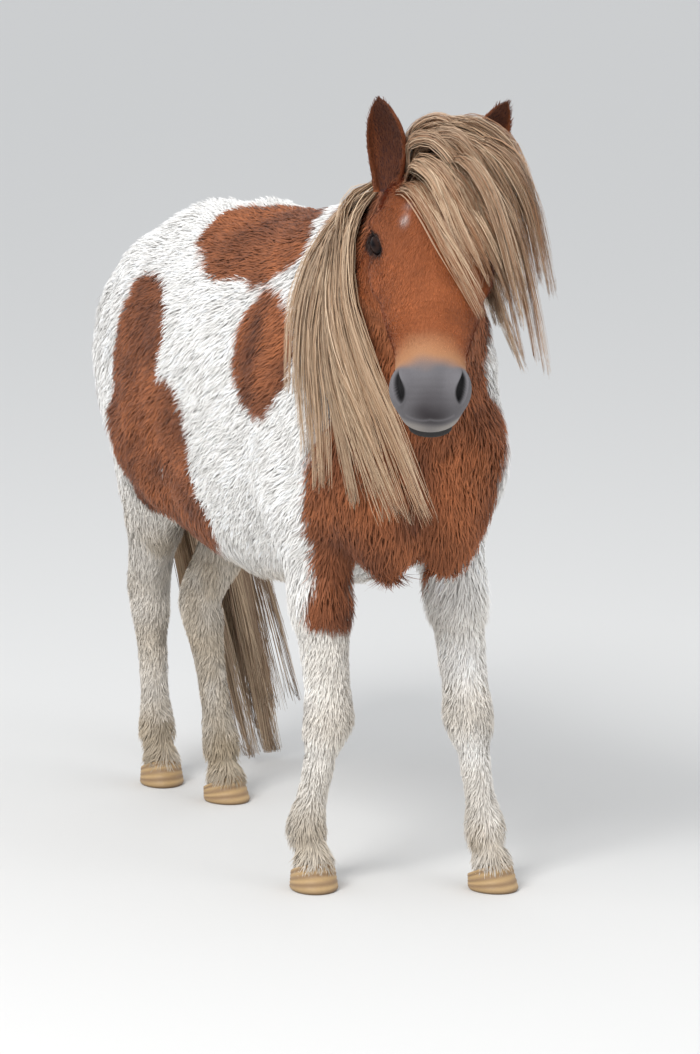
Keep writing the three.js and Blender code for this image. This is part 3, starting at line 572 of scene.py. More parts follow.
def nostril_shape(q, half_length, half_width):
    long_axis = unit(vec(0.36, -0.5, 0.74))
    along = q @ long_axis
    across = q @ unit(np.cross(long_axis, vec(0.5, 0.62, 0.6)))
    return (along / half_length) ** 2 + ((across + 0.012 * along**2 - 1.5) / half_width) ** 2


def nostril_share(q, half_length, half_width):
    return (1 - ramp(nostril_shape(q, half_length, half_width), 0.6, 1.2)) * (size(q) < 30)


def face_moves(p):
    """Moves the skin's points near the eyes, nostrils and lips."""
    h = to_head(p)
    m = mirrored(h)
    # Eyes: the lids lie on a ball a little larger than the eye, and end at a lens-shaped opening
    from_eye = m - EYE_IN_HEAD
    r = size(from_eye)
    out = unit(from_eye)
    long_way = unit(vec(0, 1, -0.28) - GAZE * (vec(0, 1, -0.28) @ GAZE))
    tall_way = np.cross(long_way, GAZE)
    tall_way = tall_way * np.sign(tall_way[2])
    a = (out @ long_way) * EYE
    b = (out @ tall_way) * EYE
    ahead = out @ GAZE
    edge = np.where(b > 0, 12.6, 10.4) * np.sqrt(np.clip(1 - (a / LID_HALF) ** 2, 0, 1)) - np.abs(b)
    edge = np.where(np.abs(a) > LID_HALF, LID_HALF - np.abs(a), edge)
    edge = np.where(ahead > 0.2, edge, -20)
    lid = EYE + 3.6 - 1.2 * ramp(-edge, 2, 10) + bell(-edge - 2.5, 2.0)
    level = mix(lid, EYE - 5.0, ramp(edge, -0.6, 0.9))
    near = (1 - ramp(r, EYE + 6, EYE + 15)) * ramp(ahead, 0.05, 0.45) * ramp(edge, -13, -7)
    target = EYE_IN_HEAD + out * level[:, None]
    m = mix(m, target, near[:, None])
    # Nostrils: a comma-shaped pit with a soft rim
    q = m - NOSTRIL
    shape = nostril_shape(q, 18, 7)
    pit = 1 - ramp(shape, 0.35, 1.15)
    rim = bell(shape - 1.6, 0.6)
    inward = unit(vec(-0.72, -0.55, -0.4))
    m = m + inward * (8.5 * pit * (size(q) < 32) - 1.6 * rim * (size(q) < 34))[:, None]
    # Mouth: a groove between the lips, from one corner round to the other
    line = MOUTH + 3.0 * ramp(m[:, 0], 8, 36)
    groove = bell(m[:, 2] - line, 2.6) * ramp(m[:, 1], 306, 322)
    lips = bell(m[:, 2] - line, 9.0) * ramp(m[:, 1], 318, 340)
    way = unit(m * [1, 1, 0] - [0, 318, 0])
    m = m + way * (1.6 * lips - 6.5 * groove)[:, None]
    # A soft hollow above each eye, and the edge of the cheek bone
    hollow = spot(m, (52, 78, 60), (14, 20, 18))
    bone = bell(m[:, 2] + 18 + 0.16 * (m[:, 1] - 150), 6)
    bone = bone * ramp(m[:, 1], 130, 160) * (1 - ramp(m[:, 1], 205, 250))
    m = m + np.stack([1.8 * bone * (m[:, 0] > 30) - 1.5 * hollow, 0 * hollow, -2.5 * hollow], -1)
    m[:, 0] *= np.where(h[:, 0] < 0, -1, 1)
    return from_head(m)


def fine_face(p):
    m = mirrored(to_head(p))
    nose = (m[:, 1] > 300) & (m[:, 0] < 80) & (m[:, 2] > -100) & (m[:, 2] < 60)
    return in_head(p, 70) & ((size(m - EYE_IN_HEAD) < 42) | nose)


def finest_face(p):
    m = mirrored(to_head(p))
    return in_head(p, 70) & ((size(m - EYE_IN_HEAD) < 30) | (size(m - NOSTRIL) < 28))


for part in (in_head, fine_face, finest_face):
    refine(skin.data, part(corners_of(skin.data)[0]))
p, _ = corners_of(skin.data)
chosen = in_head(p, 60)
p[chosen] = drawn_onto(head_skin_field, p[chosen])
chosen = in_head(p, 60)
p[chosen] = face_moves(p[chosen])
skin.data.vertices.foreach_set("co", to_scene(p).ravel())
skin.data.update()
skin_points = corners_of(skin.data)[0]


# Markings: brown patches as eggs of centre, half sizes and lean. Skin and coat share them.

PATCHES = [
    ([-62, -80, 908], [104, 182, 66], 0),
    ([-152, -238, 780], [75, 88, 94], 0),
    ([-165, 195, 690], [75, 122, 180], -6),
    ([-178, 45, 610], [60, 74, 100], 12),
    ([-140, 130, 500], [85, 150, 66], 8),
    ([-165, 165, 590], [75, 70, 75], 0),
    ([190, -120, 800], [95, 150, 120], 10),
    ([160, 260, 720], [90, 130, 190], -10),
    ([150, 60, 560], [80, 110, 90], 10),
]
BELOW_NECK = unit(vec(0, 0.74, -0.675))


def patch(p):
    """How far inside the brown a place is, in millimetres."""
    x, y, z = p.T
    best = np.full(len(p), -200.0)
    for centre, half, lean in PATCHES:
        best = np.maximum(best, -egg(centre, half, lean)(p))
    # The chest and the tops of the forelegs
    ends = np.where(x < 10, 394, np.where(x < 64, 352, 492))
    chest = np.minimum(-343 - 0.29 * (z - 515) - y, 124 + 0.2 * (z - 640) - x)
    best = np.maximum(best, np.minimum(chest, z - ends))
    # The neck and the head
    best = np.maximum(best, np.minimum(-((p - vec(0, -345, 850)) @ BELOW_NECK), 60))
    best = np.maximum(best, np.where(in_head(p, 0), 60, -200))
    return best + 10 * noise(p, 48, 3) + 5 * noise(p, 15, 4)


WHITE, CREAM, DULL_BEIGE = vec(0.88, 0.86, 0.83), vec(0.62, 0.54, 0.43), vec(0.42, 0.33, 0.22)
CHESTNUT, RED, DARK = vec(0.35, 0.115, 0.042), vec(0.37, 0.105, 0.032), vec(0.10, 0.032, 0.016)
TAN, GREY, PALE = vec(0.52, 0.28, 0.14), vec(0.042, 0.035, 0.038), vec(0.4, 0.365, 0.335)
RIM, BLACK = vec(0.19, 0.18, 0.19), vec(0.008, 0.007, 0.008)


def tone(a, b, t):
    """From one colour or way to another, by a share for each place."""
    return a + (b - a) * t[:, None]


def colour_at(p):
    """The colour of the hair, or of the bare skin of the muzzle, at each place."""
    n1, n2 = noise(p, 60, 11), noise(p, 22, 12)
    x, y, z = p.T
    low = ramp(z + 22 * n1, 190, 60)
    white = tone(WHITE, CREAM, np.clip(0.30 + 0.3 * n1, 0, 1) * ramp(z, 560, 300))
    joint = bell(z - KNEE, 34) + 0.8 * bell(z - FETLOCK, 34)
    hind = (y > 150) * ramp(z, 620, 420)
    white = tone(white, DULL_BEIGE, np.clip(0.5 * low * (0.7 + 0.6 * n2) + 0.28 * joint + 0.32 * hind, 0, 0.85))
    # The white and the brown both turn darker under the belly
    belly = ramp(z, 470, 415) * (y > -260) * (y < 330) * (np.abs(x) < 150)
    white = tone(white, DULL_BEIGE * 0.9, 0.6 * belly * np.clip(0.8 + 0.5 * n2, 0, 1))
    red = tone(CHESTNUT, DARK, np.clip(0.30 + 0.45 * n1 + 0.2 * n2, 0, 0.8))
    red = tone(red, DARK, 0.75 * belly)
    c = tone(white, red, ramp(patch(p), -4, 5))
    h = to_head(p)
    hx, hy, hz = h.T
    face = tone(RED, DARK, np.clip(0.10 + 0.22 * n1 + 0.12 * n2, 0, 0.6))
    m = mirrored(h)
    face = tone(face, DARK, 0.8 * bell(size(m - EYE_IN_HEAD), 29))
    from_lids = size((m - EYE_IN_HEAD - GAZE * 14) / vec(17, 22, 16))
    face = tone(face, BLACK, 0.9 * (1 - ramp(from_lids, 0.8, 1.15)))
    cheek = spot(m, (52, 215, -10), (22, 44, 13))
    face = tone(face, DARK, 0.4 * cheek * np.clip(0.8 + n2, 0, 1))
    face = tone(face, TAN, 0.35 * ramp(hz, -40, -110) * ramp(hy, 60, 160))
    star = spot(h, (-35, 106, 75), (5, 9, 25)) + 0.5 * spot(h, (-30, 84, 75), (6, 7, 25))
    face = tone(face, WHITE, np.clip(0.75 * star * (0.9 + 0.6 * n2), 0, 1))
    face = tone(face, TAN, 0.7 * ramp(hy + 9 * n2, 272, 318))
    # The bare muzzle: dark between the nostrils, light above the mouth, black in the nostrils as painted
    # shade of their openings, and black on the lower lip as its dark skin with painted shade of the mouth
    # line
    between = spot(m, (0, 362, -6), (27, 60, 24))
    bare = tone(RIM, GREY, np.clip(1.25 * between * (1 + 0.25 * n2), 0, 1))
    bare = tone(bare, PALE, 0.85 * ramp(hz + 3 * n2, -20, -34) * (1 - 0.45 * bell(hx, 13)))
    fold = bell(hz + 17 - 0.012 * (m[:, 0] - 15) ** 2, 2.4) * (m[:, 0] < 32)
    bare = tone(bare, RIM * 1.2, 0.55 * fold)
    # Black in each nostril: painted shade of the opening, which is only a shallow pit
    nostril = nostril_share(m - NOSTRIL + vec(3.5, 3, 2), 18.5, 7.5)
    bare = tone(bare, BLACK, nostril)
    # Black from just above the mouth line downwards: dark skin of the lips and painted shade of the mouth
    # line and under the lower lip
    bare = tone(bare, BLACK, 0.93 * ramp(hz, -45.5, -50))
    face = tone(face, bare, ramp(hy + 6 * n2, 310, 336))
    return tone(c, face, ramp(hy, -12, 30) * in_head(p, -20))


# Hair: flat tapered strips, each with one colour along it that darkens to the root as painted shade deep in
# the coat


def head_share(p):
    hx, hy, hz = to_head(p).T
    return ramp(hy, -15, 30) * (np.abs(hx) < 110) * (hz > -150) * (hz < 110)


def unwrapped(p):
    """Places on an unwrap of the skin: round and along the trunk, and the head and each leg beside it."""
    x, y, z = p.T
    u, v = np.arctan2(x, z - 670) / (2 * math.pi) + 0.5, (y + 480) / 1100
    hx, hy, hz = to_head(p).T
    on_head = head_share(p) > 0.5
    u = np.where(on_head, 1.05 + 0.45 * (np.arctan2(hx, hz + 30) / (2 * math.pi) + 0.5), u)
    v = np.where(on_head, (hy + 60) / 480, v)
    for k, (joints, _) in enumerate(LEGS.values()):
        way = spline(joints)(np.linspace(0, 1, 40))
        axis = np.stack([np.interp(z, way[::-1, 2], way[::-1, i]) for i in (0, 1)], 1)
        a, b = x - axis[:, 0], y - axis[:, 1]
        on_leg = (z < 460) & (np.hypot(a, b) < 78)
        u = np.where(on_leg, 1.6 + 0.2 * k + 0.17 * (np.arctan2(a, b) / (2 * math.pi) + 0.5), u)
        v = np.where(on_leg, z / 480, v)
    return np.stack([u, v], 1)


def set_tint(mesh, colours):
    data = np.concatenate([np.clip(colours, 0, 1), np.ones((len(colours), 1))], 1)
    mesh.color_attributes.new("tint", "FLOAT_COLOR", "POINT").data.foreach_set("color", data.ravel())


def strips(name, centres, across, widths, tint, roots, material):
    """Joins strips into one piece. centres are (strips, rings, 3), widths the half widths at the rings."""
    m, k, _ = centres.shape
    side = (across if across.ndim == 3 else across[:, None, :]) * widths[..., None]
    verts = np.stack([centres - side, centres + side], 2).reshape(-1, 3)
    base = (np.arange(m) * 2 * k)[:, None] + 2 * np.arange(k - 1)[None, :]
    faces = np.stack([base, base + 1, base + 3, base + 2], -1).reshape(-1, 4)
    piece = mesh_object(name, verts, faces)
    mesh = piece.data
    # Each strip darkens towards its root: painted shade deep in the coat
    shade = np.linspace(0, 1, k)[None, :, None] * 0.24 + 0.84
    set_tint(mesh, np.repeat((tint[:, None, :] * shade).reshape(-1, 3), 2, axis=0))
    place = unwrapped(roots)
    place = 0.01 + 0.975 * (place - place.min(0)) / np.maximum(np.ptp(place, axis=0), 1e-6).max()
    uv = np.empty((m, k, 2, 2))
    uv[..., 0] = place[:, None, None, 0] + np.array([0, 0.003])[None, None, :]
    uv[..., 1] = place[:, None, None, 1] + np.linspace(0, 0.003, k)[None, :, None]
    mesh.uv_layers.new(name="OFBake").data.foreach_set("uv", uv.reshape(-1, 2)[faces.ravel()].ravel())
    mesh.materials.append(material)
    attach(piece, "root")
    return piece


def lie(p, n):
    """The way the coat lies: back along the trunk and down its sides, down the legs and along the face."""
    x, y, z = p.T
    side = np.clip(np.abs(x) / 170, 0, 1)
    d = np.stack([0.1 * x / 170, 0 * x + 1.0, -0.15 - 0.75 * side - 0.4 * ramp(z, 620, 430)], 1)
    # The chest, the rump, the legs and the neck
    d = tone(d, vec(0, 0.05, -1), ramp(y, -300, -400))
    d = tone(d, vec(0, 0.35, -1), ramp(y, 300, 430))
    d = tone(d, vec(0, 0.22, -1), ramp(z, 540, 440))
    on_neck = ramp(-((p - vec(0, -300, 800)) @ BELOW_NECK), -30, 60)
    d = tone(d, unit(BELOW_NECK + vec(0, 0.1, -0.75)), on_neck)
    h = to_head(p)
    cheek = ramp(h[:, 2], 20, -50)[:, None]
    face = muzzle_way + cheek * (-0.35 * brow_way) + 0.1 * np.sign(h[:, :1]) * head_left
    d = tone(d, face, head_share(p))
    d = unit(d) + 0.32 * noise_vectors(p, 55, 21) + 0.16 * noise_vectors(p, 14, 24)
    return unit(d - n * dot(d, n)[:, None])


rng = np.random.default_rng(5)


def scattered(mesh, density):
    """Random places on a mesh with their normals. density gives tufts per square metre at each place."""
    mesh.calc_loop_triangles()
    p, n = corners_of(mesh)
    tri = read(mesh.loop_triangles, "vertices", np.int32)
    a, b, c = (p[k] for k in tri.T)
    area = size(np.cross(b - a, c - a)) / 2 * 1e-6
    want = area * density((a + b + c) / 3)
    count = np.floor(want + rng.random(len(want))).astype(int)
    which = np.repeat(np.arange(len(tri)), count)
    r = np.sqrt(rng.random(len(which)))
    t = rng.random(len(which))
    w = np.stack([1 - r, r * (1 - t), r * t], 1)
    places = np.einsum("ij,ijk->ik", w, p[tri[which]])
    return places, unit(np.einsum("ij,ijk->ik", w, n[tri[which]]))


def tufts(name, roots, normals, length, width, height, rings=4, way=None, colour=None):
    """Lays one tuft on each root. length, half width and height are per root."""
    m = len(roots)
    d = lie(roots, normals) if way is None else way
    side = np.cross(d, normals)
    d = unit(d + side * rng.normal(0, 0.16, m)[:, None])
    side = np.cross(d, normals)
    s = np.linspace(0, 1, rings)
    rise = np.sin(np.minimum(s * 1.25, 1) * math.pi / 2)
    curl = rng.normal(0, 0.09, m)[:, None] * length[:, None] * s**2
    centres = (
        roots[:, None, :]
        + d[:, None, :] * (length[:, None] * s)[..., None]
        + normals[:, None, :] * (height[:, None] * rise - 1.0 + 0.6 * s)[..., None]
        + side[:, None, :] * curl[..., None]
    )
    taper = np.interp(s, [0, 0.35, 0.75, 1], [0.8, 1.0, 0.62, 0.12])
    across = unit(side + normals * rng.normal(0, 0.35, m)[:, None])
    tint = (colour_at(roots) if colour is None else colour) * (1 + rng.normal(0, 0.10, m))[:, None]
    tint = tint * (1 + 0.14 * noise(roots, 18, 31) + 0.08 * noise(roots, 6, 32))[:, None]
    widths = width[:, None] * taper
    return strips(name, centres, across, widths, np.clip(tint, 0, 0.95), roots, coat_look)


# Materials


def put(node, **values):
    for key, value in values.items():
        node.inputs[key.replace("_", " ")].default_value = value


def principled(name):
    material = bpy.data.materials.new(name)
    material.use_nodes = True
    nodes, links = material.node_tree.nodes, material.node_tree.links
    return material, nodes, links, nodes["Principled BSDF"]


def vary_tint(nodes, links, shader, grain, low, high):
    """Colour from the piece's markings, made darker and lighter by the grain."""
    mark = nodes.new("ShaderNodeVertexColor")
    mark.layer_name = "tint"
    vary = nodes.new("ShaderNodeMapRange")
    put(vary, To_Min=low, To_Max=high)
    times = nodes.new("ShaderNodeVectorMath")
    times.operation = "SCALE"
    links.new(grain.outputs["Fac"], vary.inputs["Value"])
    links.new(mark.outputs["Color"], times.inputs[0])
    links.new(vary.outputs["Result"], times.inputs["Scale"])
    links.new(times.outputs["Vector"], shader.inputs["Base Color"])


def tinted(name, roughness, specular, scale, strength, stretch=(1, 1, 1), sheen=0.0, spread=0.12):
    """A material with the piece's markings, varied by fine noise, and a bumpy surface."""
    material, nodes, links, shader = principled(name)
    where = nodes.new("ShaderNodeTexCoord")
    mapping = nodes.new("ShaderNodeMapping")
    put(mapping, Scale=stretch)
    grain = nodes.new("ShaderNodeTexNoise")
    put(grain, Scale=scale, Detail=3)
    links.new(where.outputs["Object"], mapping.inputs["Vector"])
    links.new(mapping.outputs["Vector"], grain.inputs["Vector"])
    vary_tint(nodes, links, shader, grain, 1 - spread, 1 + spread)
    dull = nodes.new("ShaderNodeMapRange")
    put(dull, To_Min=roughness - 0.08, To_Max=roughness + 0.1)
    links.new(grain.outputs["Fac"], dull.inputs["Value"])
    links.new(dull.outputs["Result"], shader.inputs["Roughness"])
    bump = nodes.new("ShaderNodeBump")
    put(bump, Strength=strength, Distance=0.001)
    links.new(grain.outputs["Fac"], bump.inputs["Height"])
    links.new(bump.outputs["Normal"], shader.inputs["Normal"])
    put(shader, Specular_IOR_Level=specular, Sheen_Weight=sheen, Sheen_Roughness=0.4)
    return material


skin_look = tinted("skin_look", 0.7, 0.25, 900, 0.5, (1, 0.35, 0.35))
coat_look = tinted("coat_look", 0.62, 0.3, 700, 0.25, sheen=0.15)
mane_look = tinted("mane_look", 0.48, 0.4, 900, 0.25, sheen=0.1, spread=0.2)


def painted(piece, colours, material, slot, *nodes):
    set_tint(piece.data, colours)
    piece.data.materials.append(material)
    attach(piece, "root")
    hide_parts(*nodes)


LEG_NODES = ["leg_" + name for name in LEGS]
# The skin takes the coat's colour at four fifths: painted shade under the coat
painted(skin, colour_at(skin_points) * 0.8, skin_look, "coat", "torso", "neck", "head", *LEG_NODES)

# The coat


def density(p):
    on_head = head_share(p)
    on_leg = ramp(p[:, 2], 480, 400) * (1 - on_head)
    bare = ramp(to_head(p)[:, 1], 312, 334) * on_head
    return mix(mix(92e3, 130e3, on_leg), 260e3, on_head) * (1 - bare) * 1


roots, normals = scattered(skin.data, density)
on_head, on_leg = head_share(roots), ramp(roots[:, 2], 500, 400)
depth = coat_depth(roots)
m = len(roots)
x, y, z = roots.T
shaggy = ramp(z, 520, 430) * (np.abs(x) < 140) * (y < 330) * (1 - on_head) * ramp(z, 380, 410)
chest = ramp(y, -330, -380) * ramp(z, 560, 470) * ramp(z, 400, 450)
feather = bell(z - 70, 26) * (on_head < 0.5)
length = mix(mix(27.0, 14.0, on_leg), 6.5, on_head) + 16 * shaggy + 14 * chest + 12 * feather
length *= 1 + 0.22 * noise(roots, 30, 41) + rng.normal(0, 0.14, m)
length = np.where(in_head(roots, 40) & (to_head(roots)[:, 1] > 240), length * 0.6, length)
width = mix(mix(1.1, 0.85, on_leg), 0.5, on_head) * (0.8 + 0.4 * rng.random(m))
height = depth * (0.62 + 0.5 * rng.random(m)) * (1 + 0.25 * noise(roots, 25, 42))
height = height + 3 * shaggy + 1.5 * feather
body = (on_head < 0.5) & (z > 430)
AREAS = [
    ("coat_front", body & (y < -150), 4, "coat"),
    ("coat_middle", body & (y >= -150) & (y < 150), 4, "coat"),
    ("coat_rear", body & (y >= 150), 4, "coat"),
    ("coat_legs", (on_head < 0.5) & (z <= 430), 3, "leg_hair"),
    ("coat_face", on_head >= 0.5, 3, "head_and_forelock"),
]
for name, area, rings, slot in AREAS:
    for end, half in (("_right", x < 0), ("_left", x >= 0)):
        own = area & half
        piece = tufts(name + end, roots[own], normals[own], length[own], width[own], height[own], rings)

# Locks of the mane, forelock and tail, which follow the photo more closely than the solids' locks

LOCK_ROOT, LOCK_CLEAR, LAYER = 9, 6, 8
LOCK_STEPS, LOCK_STIFFNESS, LOCK_LOW = 5, 90, 24
WISPS = 9


def surface_from(field, start, way, reach, step=5.0):
    """Where the lines from start along way leave the field."""
    far = np.full(len(start), step)
    for _ in range(int(reach / step)):
        inside = field(start + way * far[:, None]) < 0
        if not inside.any():
            break
        far = far + step * inside
    near = far - step
    for _ in range(14):
        middle = (near + far) / 2
        inside = field(start + way * middle[:, None]) < 0
        near, far = np.where(inside, middle, near), np.where(inside, far, middle)
    return start + way * far[:, None]


def strands(locks, over):
    """The places and outward ways along each lock, which keeps clear of what it lies over. A lock is a row
    of its start, the way out of what it grows from, the way it sets out, length, layer, the wind and the
    fall that bend it, and the number of steps that it rises."""
    at, out, way, length, layer, wind, fall, rise = (np.array(v, float) for v in zip(*locks))
    pull = wind - UP * fall[:, None]
    places, outs = [at - out * LOCK_ROOT], [out]
    heading = unit(way)
    part = (length / LOCK_STEPS)[:, None]
    for i in range(1, LOCK_STEPS + 1):
        bend = np.where(i <= rise, 0.3, 1.0)[:, None]
        for k in range(3):
            heading = unit(heading + pull * bend * part / LOCK_STIFFNESS)
            at = at + heading * part / 3
            near = (LOCK_CLEAR + layer * LAYER) * min(1, (i - 1 + (k + 1) / 3) / 1.2)
            d = over(at)
            at = at + slope(over, at, 4.0) * np.maximum(near - d, 0)[:, None]
            at[:, 2] = np.maximum(at[:, 2], LOCK_LOW)
        heading = unit(heading + 0.6 * unit(at - places[-1]))
        outs.append(np.where((over(at) < 60)[:, None], slope(over, at, 4.0), outs[-1]))
        places.append(at)
    return np.stack(places, 1), np.stack(outs, 1)


crest = spline([[0, -196, 760], [0, -300, 800], [-8, -388, 858], [-24, -456, 925], from_head([0, -6, -10])])


def grown(seed, count, lock):
    """Locks one after another, each with its own random draws."""
    draw = draws_from(seed)
    locks = []
    for i in range(count):
        locks.append(lock(i, count, draw))
        draw()
    return locks


def mane_lock(i, count, draw):
    t = mix(0.24, 0.99, ((i + 0.5 * draw()) / count) ** 0.62)
    # The hair near the withers falls to the left, and so does some of the rest
    s = 1 if t < 0.78 or i % 3 == 1 else -1
    row = i % 3
    spread = s * (0.34 - 0.2 * row)
    centre, along = crest(t)[0], tangent(crest, t)[0]
    side = unit(LEFT + head_left * t)
    up = unit(np.cross(along, side))
    out = unit(up * math.cos(spread) + side * math.sin(spread))
    start = surface_from(neck_and_trunk, centre[None], out[None], 300)[0]
    upper = float(ease((t - 0.66) / 0.32))
    if s > 0:
        length = mix(190, 260, upper) * (0.8 + 0.3 * draw())
    else:
        length = mix(400, 490, upper) * (0.86 + 0.24 * draw())
    way = side * s * mix(0.7, 0.3, upper) + out * mix(0.42, 0.7, upper)
    way = way + along * (0.15 * draw() + 0.42 * upper)
    blow = mix(0.1, 0.13, upper) if s > 0 else mix(0.1, 0.23, upper) + 0.1 * (draw() - 0.5)
    layer = row + 0.5 * (i % 2) if s > 0 else 0.4 * row
    return start, out, way, length, layer, [blow, -0.04 - 0.14 * upper, 0], 0.75, 0


def forelock_lock(i, count, draw):
    row, u = i % 3, (i + 0.5) / count
    way = turn_from_head([mix(-0.78, 0.36, u), -0.1, 1])
    start = surface_from(head, from_head([0, 34 - 14 * row, 0])[None], unit(way)[None], 200)[0]
    out = slope(head, start[None])[0]
    sway = mix(0.2, 0.42, u) + 0.2 * (draw() - 0.5)
    way = UP * (0.1 + 0.48 * row + 0.34 * draw()) + turn_from_head([sway, 0.3 - 0.1 * row, 0.2])
    length = mix(235, 310, float(ease(u * 1.2))) * (0.74 + 0.4 * draw())
    return start, out, way, length, 1.4 * row, [mix(0.24, 0.16, u), -0.03, 0], 0.95, 1


dock = spline([[0, 380, 852], [0, 452, 842], [6, 486, 790], [22, 498, 700], [48, 494, 600]])
dock_field = tube([[*dock(t)[0], mix(32, 17, t), *[mix(30, 17, t)] * 2] for t in (0, 0.25, 0.5, 0.75, 1)])


def over_tail(p):
    return np.minimum(rough(p) - 14, dock_field(p))


def tail_lock(i, count, draw):
    t = mix(0.94, 0.32, i / (count - 1))
    centre, along = dock(t)[0], tangent(dock, t)[0]
    a = mix(-0.3, 1.3, (i * 0.382 + 0.1 * draw()) % 1) * math.pi
    out = unit(vec(math.cos(a), 0, 0) - np.cross(LEFT, along) * math.sin(a))
    start = surface_from(dock_field, centre[None], out[None], 80)[0]
    length = (start[2] - mix(30, 200, draw() ** 2)) * 1.02
    wind = [0.17 + 0.08 * (draw() - 0.5), -0.05, 0]
    return start, out, along + out * 0.5, length, 2.6 * i / count, wind, 0.8, 0


def long_hair(name, locks, over, count, rings, spread, width, colours, pale):
    """Fine strands that share the run of each lock. colours are the two ends of a mix that gives each strand
    its own colour.
    """
    places, outs = strands(locks, over)
    g = len(locks)
    which = np.repeat(np.arange(g), count)
    m = len(which)
    s = np.linspace(0, 1, rings)
    reach = np.clip(1.13 - np.abs(rng.normal(0, 0.36, m)), 0.3, 1.13)
    centres, normals = np.empty((m, rings, 3)), np.empty((m, rings, 3))
    for k in range(g):
        own = np.flatnonzero(which == k)
        t = np.clip(reach[own][:, None] * s, 0, 1).ravel()
        centres[own] = spline(places[k])(t).reshape(-1, rings, 3)
        normals[own] = unit(spline(outs[k])(t)).reshape(-1, rings, 3)
    past = np.maximum(reach - 1, 0)[:, None] * s**6
    along = unit(np.gradient(centres, axis=1))
    centres = centres + along * (past * np.array([lock[3] for lock in locks])[which][:, None])[..., None]
    side = unit(np.cross(along, normals))
    # Strands of a lock part into wisps, each of which comes together towards its tip
    wisp = rng.integers(0, WISPS, m)
    wisp_at = np.clip(rng.normal(0, 0.75, (g, WISPS, 2)), -1.6, 1.6)[which, wisp]
    own = np.clip(rng.normal(0, 0.6, (m, 2)), -1.5, 1.5)
    apart = np.interp(s, [0, 0.3, 0.7, 1], [1.0, 0.75, 0.4, 0.14])[None, :, None]
    aside = own[:, None, :] * apart + wisp_at[:, None, :] * (1 - apart) * 1.15
    wave = np.sin(2 * math.pi * (s[None, :] * rng.uniform(0.8, 2.2, m)[:, None] + rng.random(m)[:, None]))
    wave = wave * rng.normal(0, 0.16, m)[:, None] * s
    centres = centres + side * (spread * (aside[..., 0] + wave))[..., None]
    lift = np.abs(aside[..., 1]) * np.minimum(s * 4, 1)[None, :]
    centres = centres + normals * (0.62 * spread * lift)[..., None]
    flat = centres.reshape(-1, 3)
    push = np.maximum(2.0 - over(flat), 0) * np.tile(np.minimum(s * 5, 1), m)
    flat = flat + slope(over, flat, 4.0) * push[:, None]
    flat[:, 2] = np.maximum(flat[:, 2], 12)
    centres = flat.reshape(m, rings, 3)
    across = unit(side + normals * rng.normal(0, 0.5, m)[:, None, None])
    taper = np.interp(s, [0, 0.2, 0.7, 1], [0.8, 1.0, 0.8, 0.18])
    widths = (width * rng.uniform(0.7, 1.35, m))[:, None] * taper
    shade = np.clip(rng.normal(pale, 0.24, m) + rng.normal(0, 0.22, (g, WISPS))[which, wisp], 0, 1)
    tint = tone(*colours, shade)
    tint = tint * (1 + 0.08 * rng.normal(0, 1, g)[which])[:, None]
    piece = strips(name, centres, across, widths, np.clip(tint, 0, 0.9), centres[:, 0], mane_look)
    return piece


FLAX, FAWN = vec(0.66, 0.49, 0.33), vec(0.34, 0.20, 0.11)
UMBER, RUSSET = vec(0.16, 0.09, 0.05), vec(0.30, 0.14, 0.065)
mane, forelock, tail = grown(7, 38, mane_lock), grown(19, 26, forelock_lock), grown(31, 18, tail_lock)
long_hair("mane", mane, rough, 200, 13, 17, 0.6, (FAWN, FLAX), 0.5)
long_hair("forelock", forelock, rough, 165, 13, 14, 0.5, (RUSSET, FLAX), 0.42)
tail_hair = long_hair("tail_hair", tail, over_tail, 190, 13, 17, 0.8, (UMBER, FLAX * 0.8), 0.5)
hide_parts("tail")

# Eyes, ears and hooves are rings of points, joined by quads


def ring_faces(rows, ring, flip=False):
    faces = []
    for i in range(rows - 1):
        for j in range(ring):
            a, b = i * ring + j, i * ring + (j + 1) % ring
            faces.append((a, a + ring, b + ring, b) if flip else (a, b, b + ring, a + ring))
    return faces


def face_outward(bm):
    bmesh.ops.recalc_face_normals(bm, faces=bm.faces)


def eye(s, node):
    sides, rings = 48, 32
    gaze = unit(GAZE * [s, 1, 1])
    u = unit(np.cross(gaze, vec(0, 0, 1)))
    v = np.cross(u, gaze)
    verts, tint = [], []
    for i in range(rings + 1):
        a = math.pi * i / rings
        for j in range(sides):
            b = 2 * math.pi * j / sides
            bulge = bell(a, 0.5)
            way = gaze * math.cos(a) + (u * math.cos(b) + v * math.sin(b)) * math.sin(a)
            verts.append(EYE_IN_HEAD * [s, 1, 1] + way * (EYE - 0.35 + 0.3 * bulge))
            pupil = (math.sin(a) * math.cos(b) / 0.42) ** 2 + (math.sin(a) * math.sin(b) / 0.25) ** 2
            iris = 0.5 - 0.5 * math.tanh((math.sin(a) - 0.66) * 14)
            ring = vec(0.022, 0.010, 0.006) * iris * (1 - math.exp(-pupil**2)) + vec(0.003, 0.002, 0.003)
            tint.append(ring + vec(0.03, 0.02, 0.018) * ramp(math.sin(a), 0.86, 0.97) * (a < 1.7))
    piece = mesh_object(node + "_ball", from_head(np.array(verts)), ring_faces(rings + 1, sides))
    look, nodes, links, shader = principled(node + "_look")
    cells = nodes.new("ShaderNodeTexNoise")
    put(cells, Scale=420)
    vary_tint(nodes, links, shader, cells, 0.6, 1.5)
    put(shader, Roughness=0.05, IOR=1.2)
    painted(piece, np.array(tint), look, "eye", node)


eye(-1, "eye_right")
eye(1, "eye_left")

# Ears: cupped leaves that are open towards the front

EAR_ROOT = vec(59, 26, 34)
EAR_SHARES = [0, 0.14, 0.28, 0.42, 0.58, 0.73, 0.86, 0.95, 1]
# The half width, the depth of the cup and the thickness at those shares of the way to the tip
EAR_SIZES = [
    [19, 22, 26, 29, 28.5, 24, 16.5, 9, 1],
    [16, 18, 19, 19, 17, 13, 9, 5, 0.8],
    [13, 10, 5.5, 4.5, 4, 3.6, 3.2, 2.6, 0.6],
]


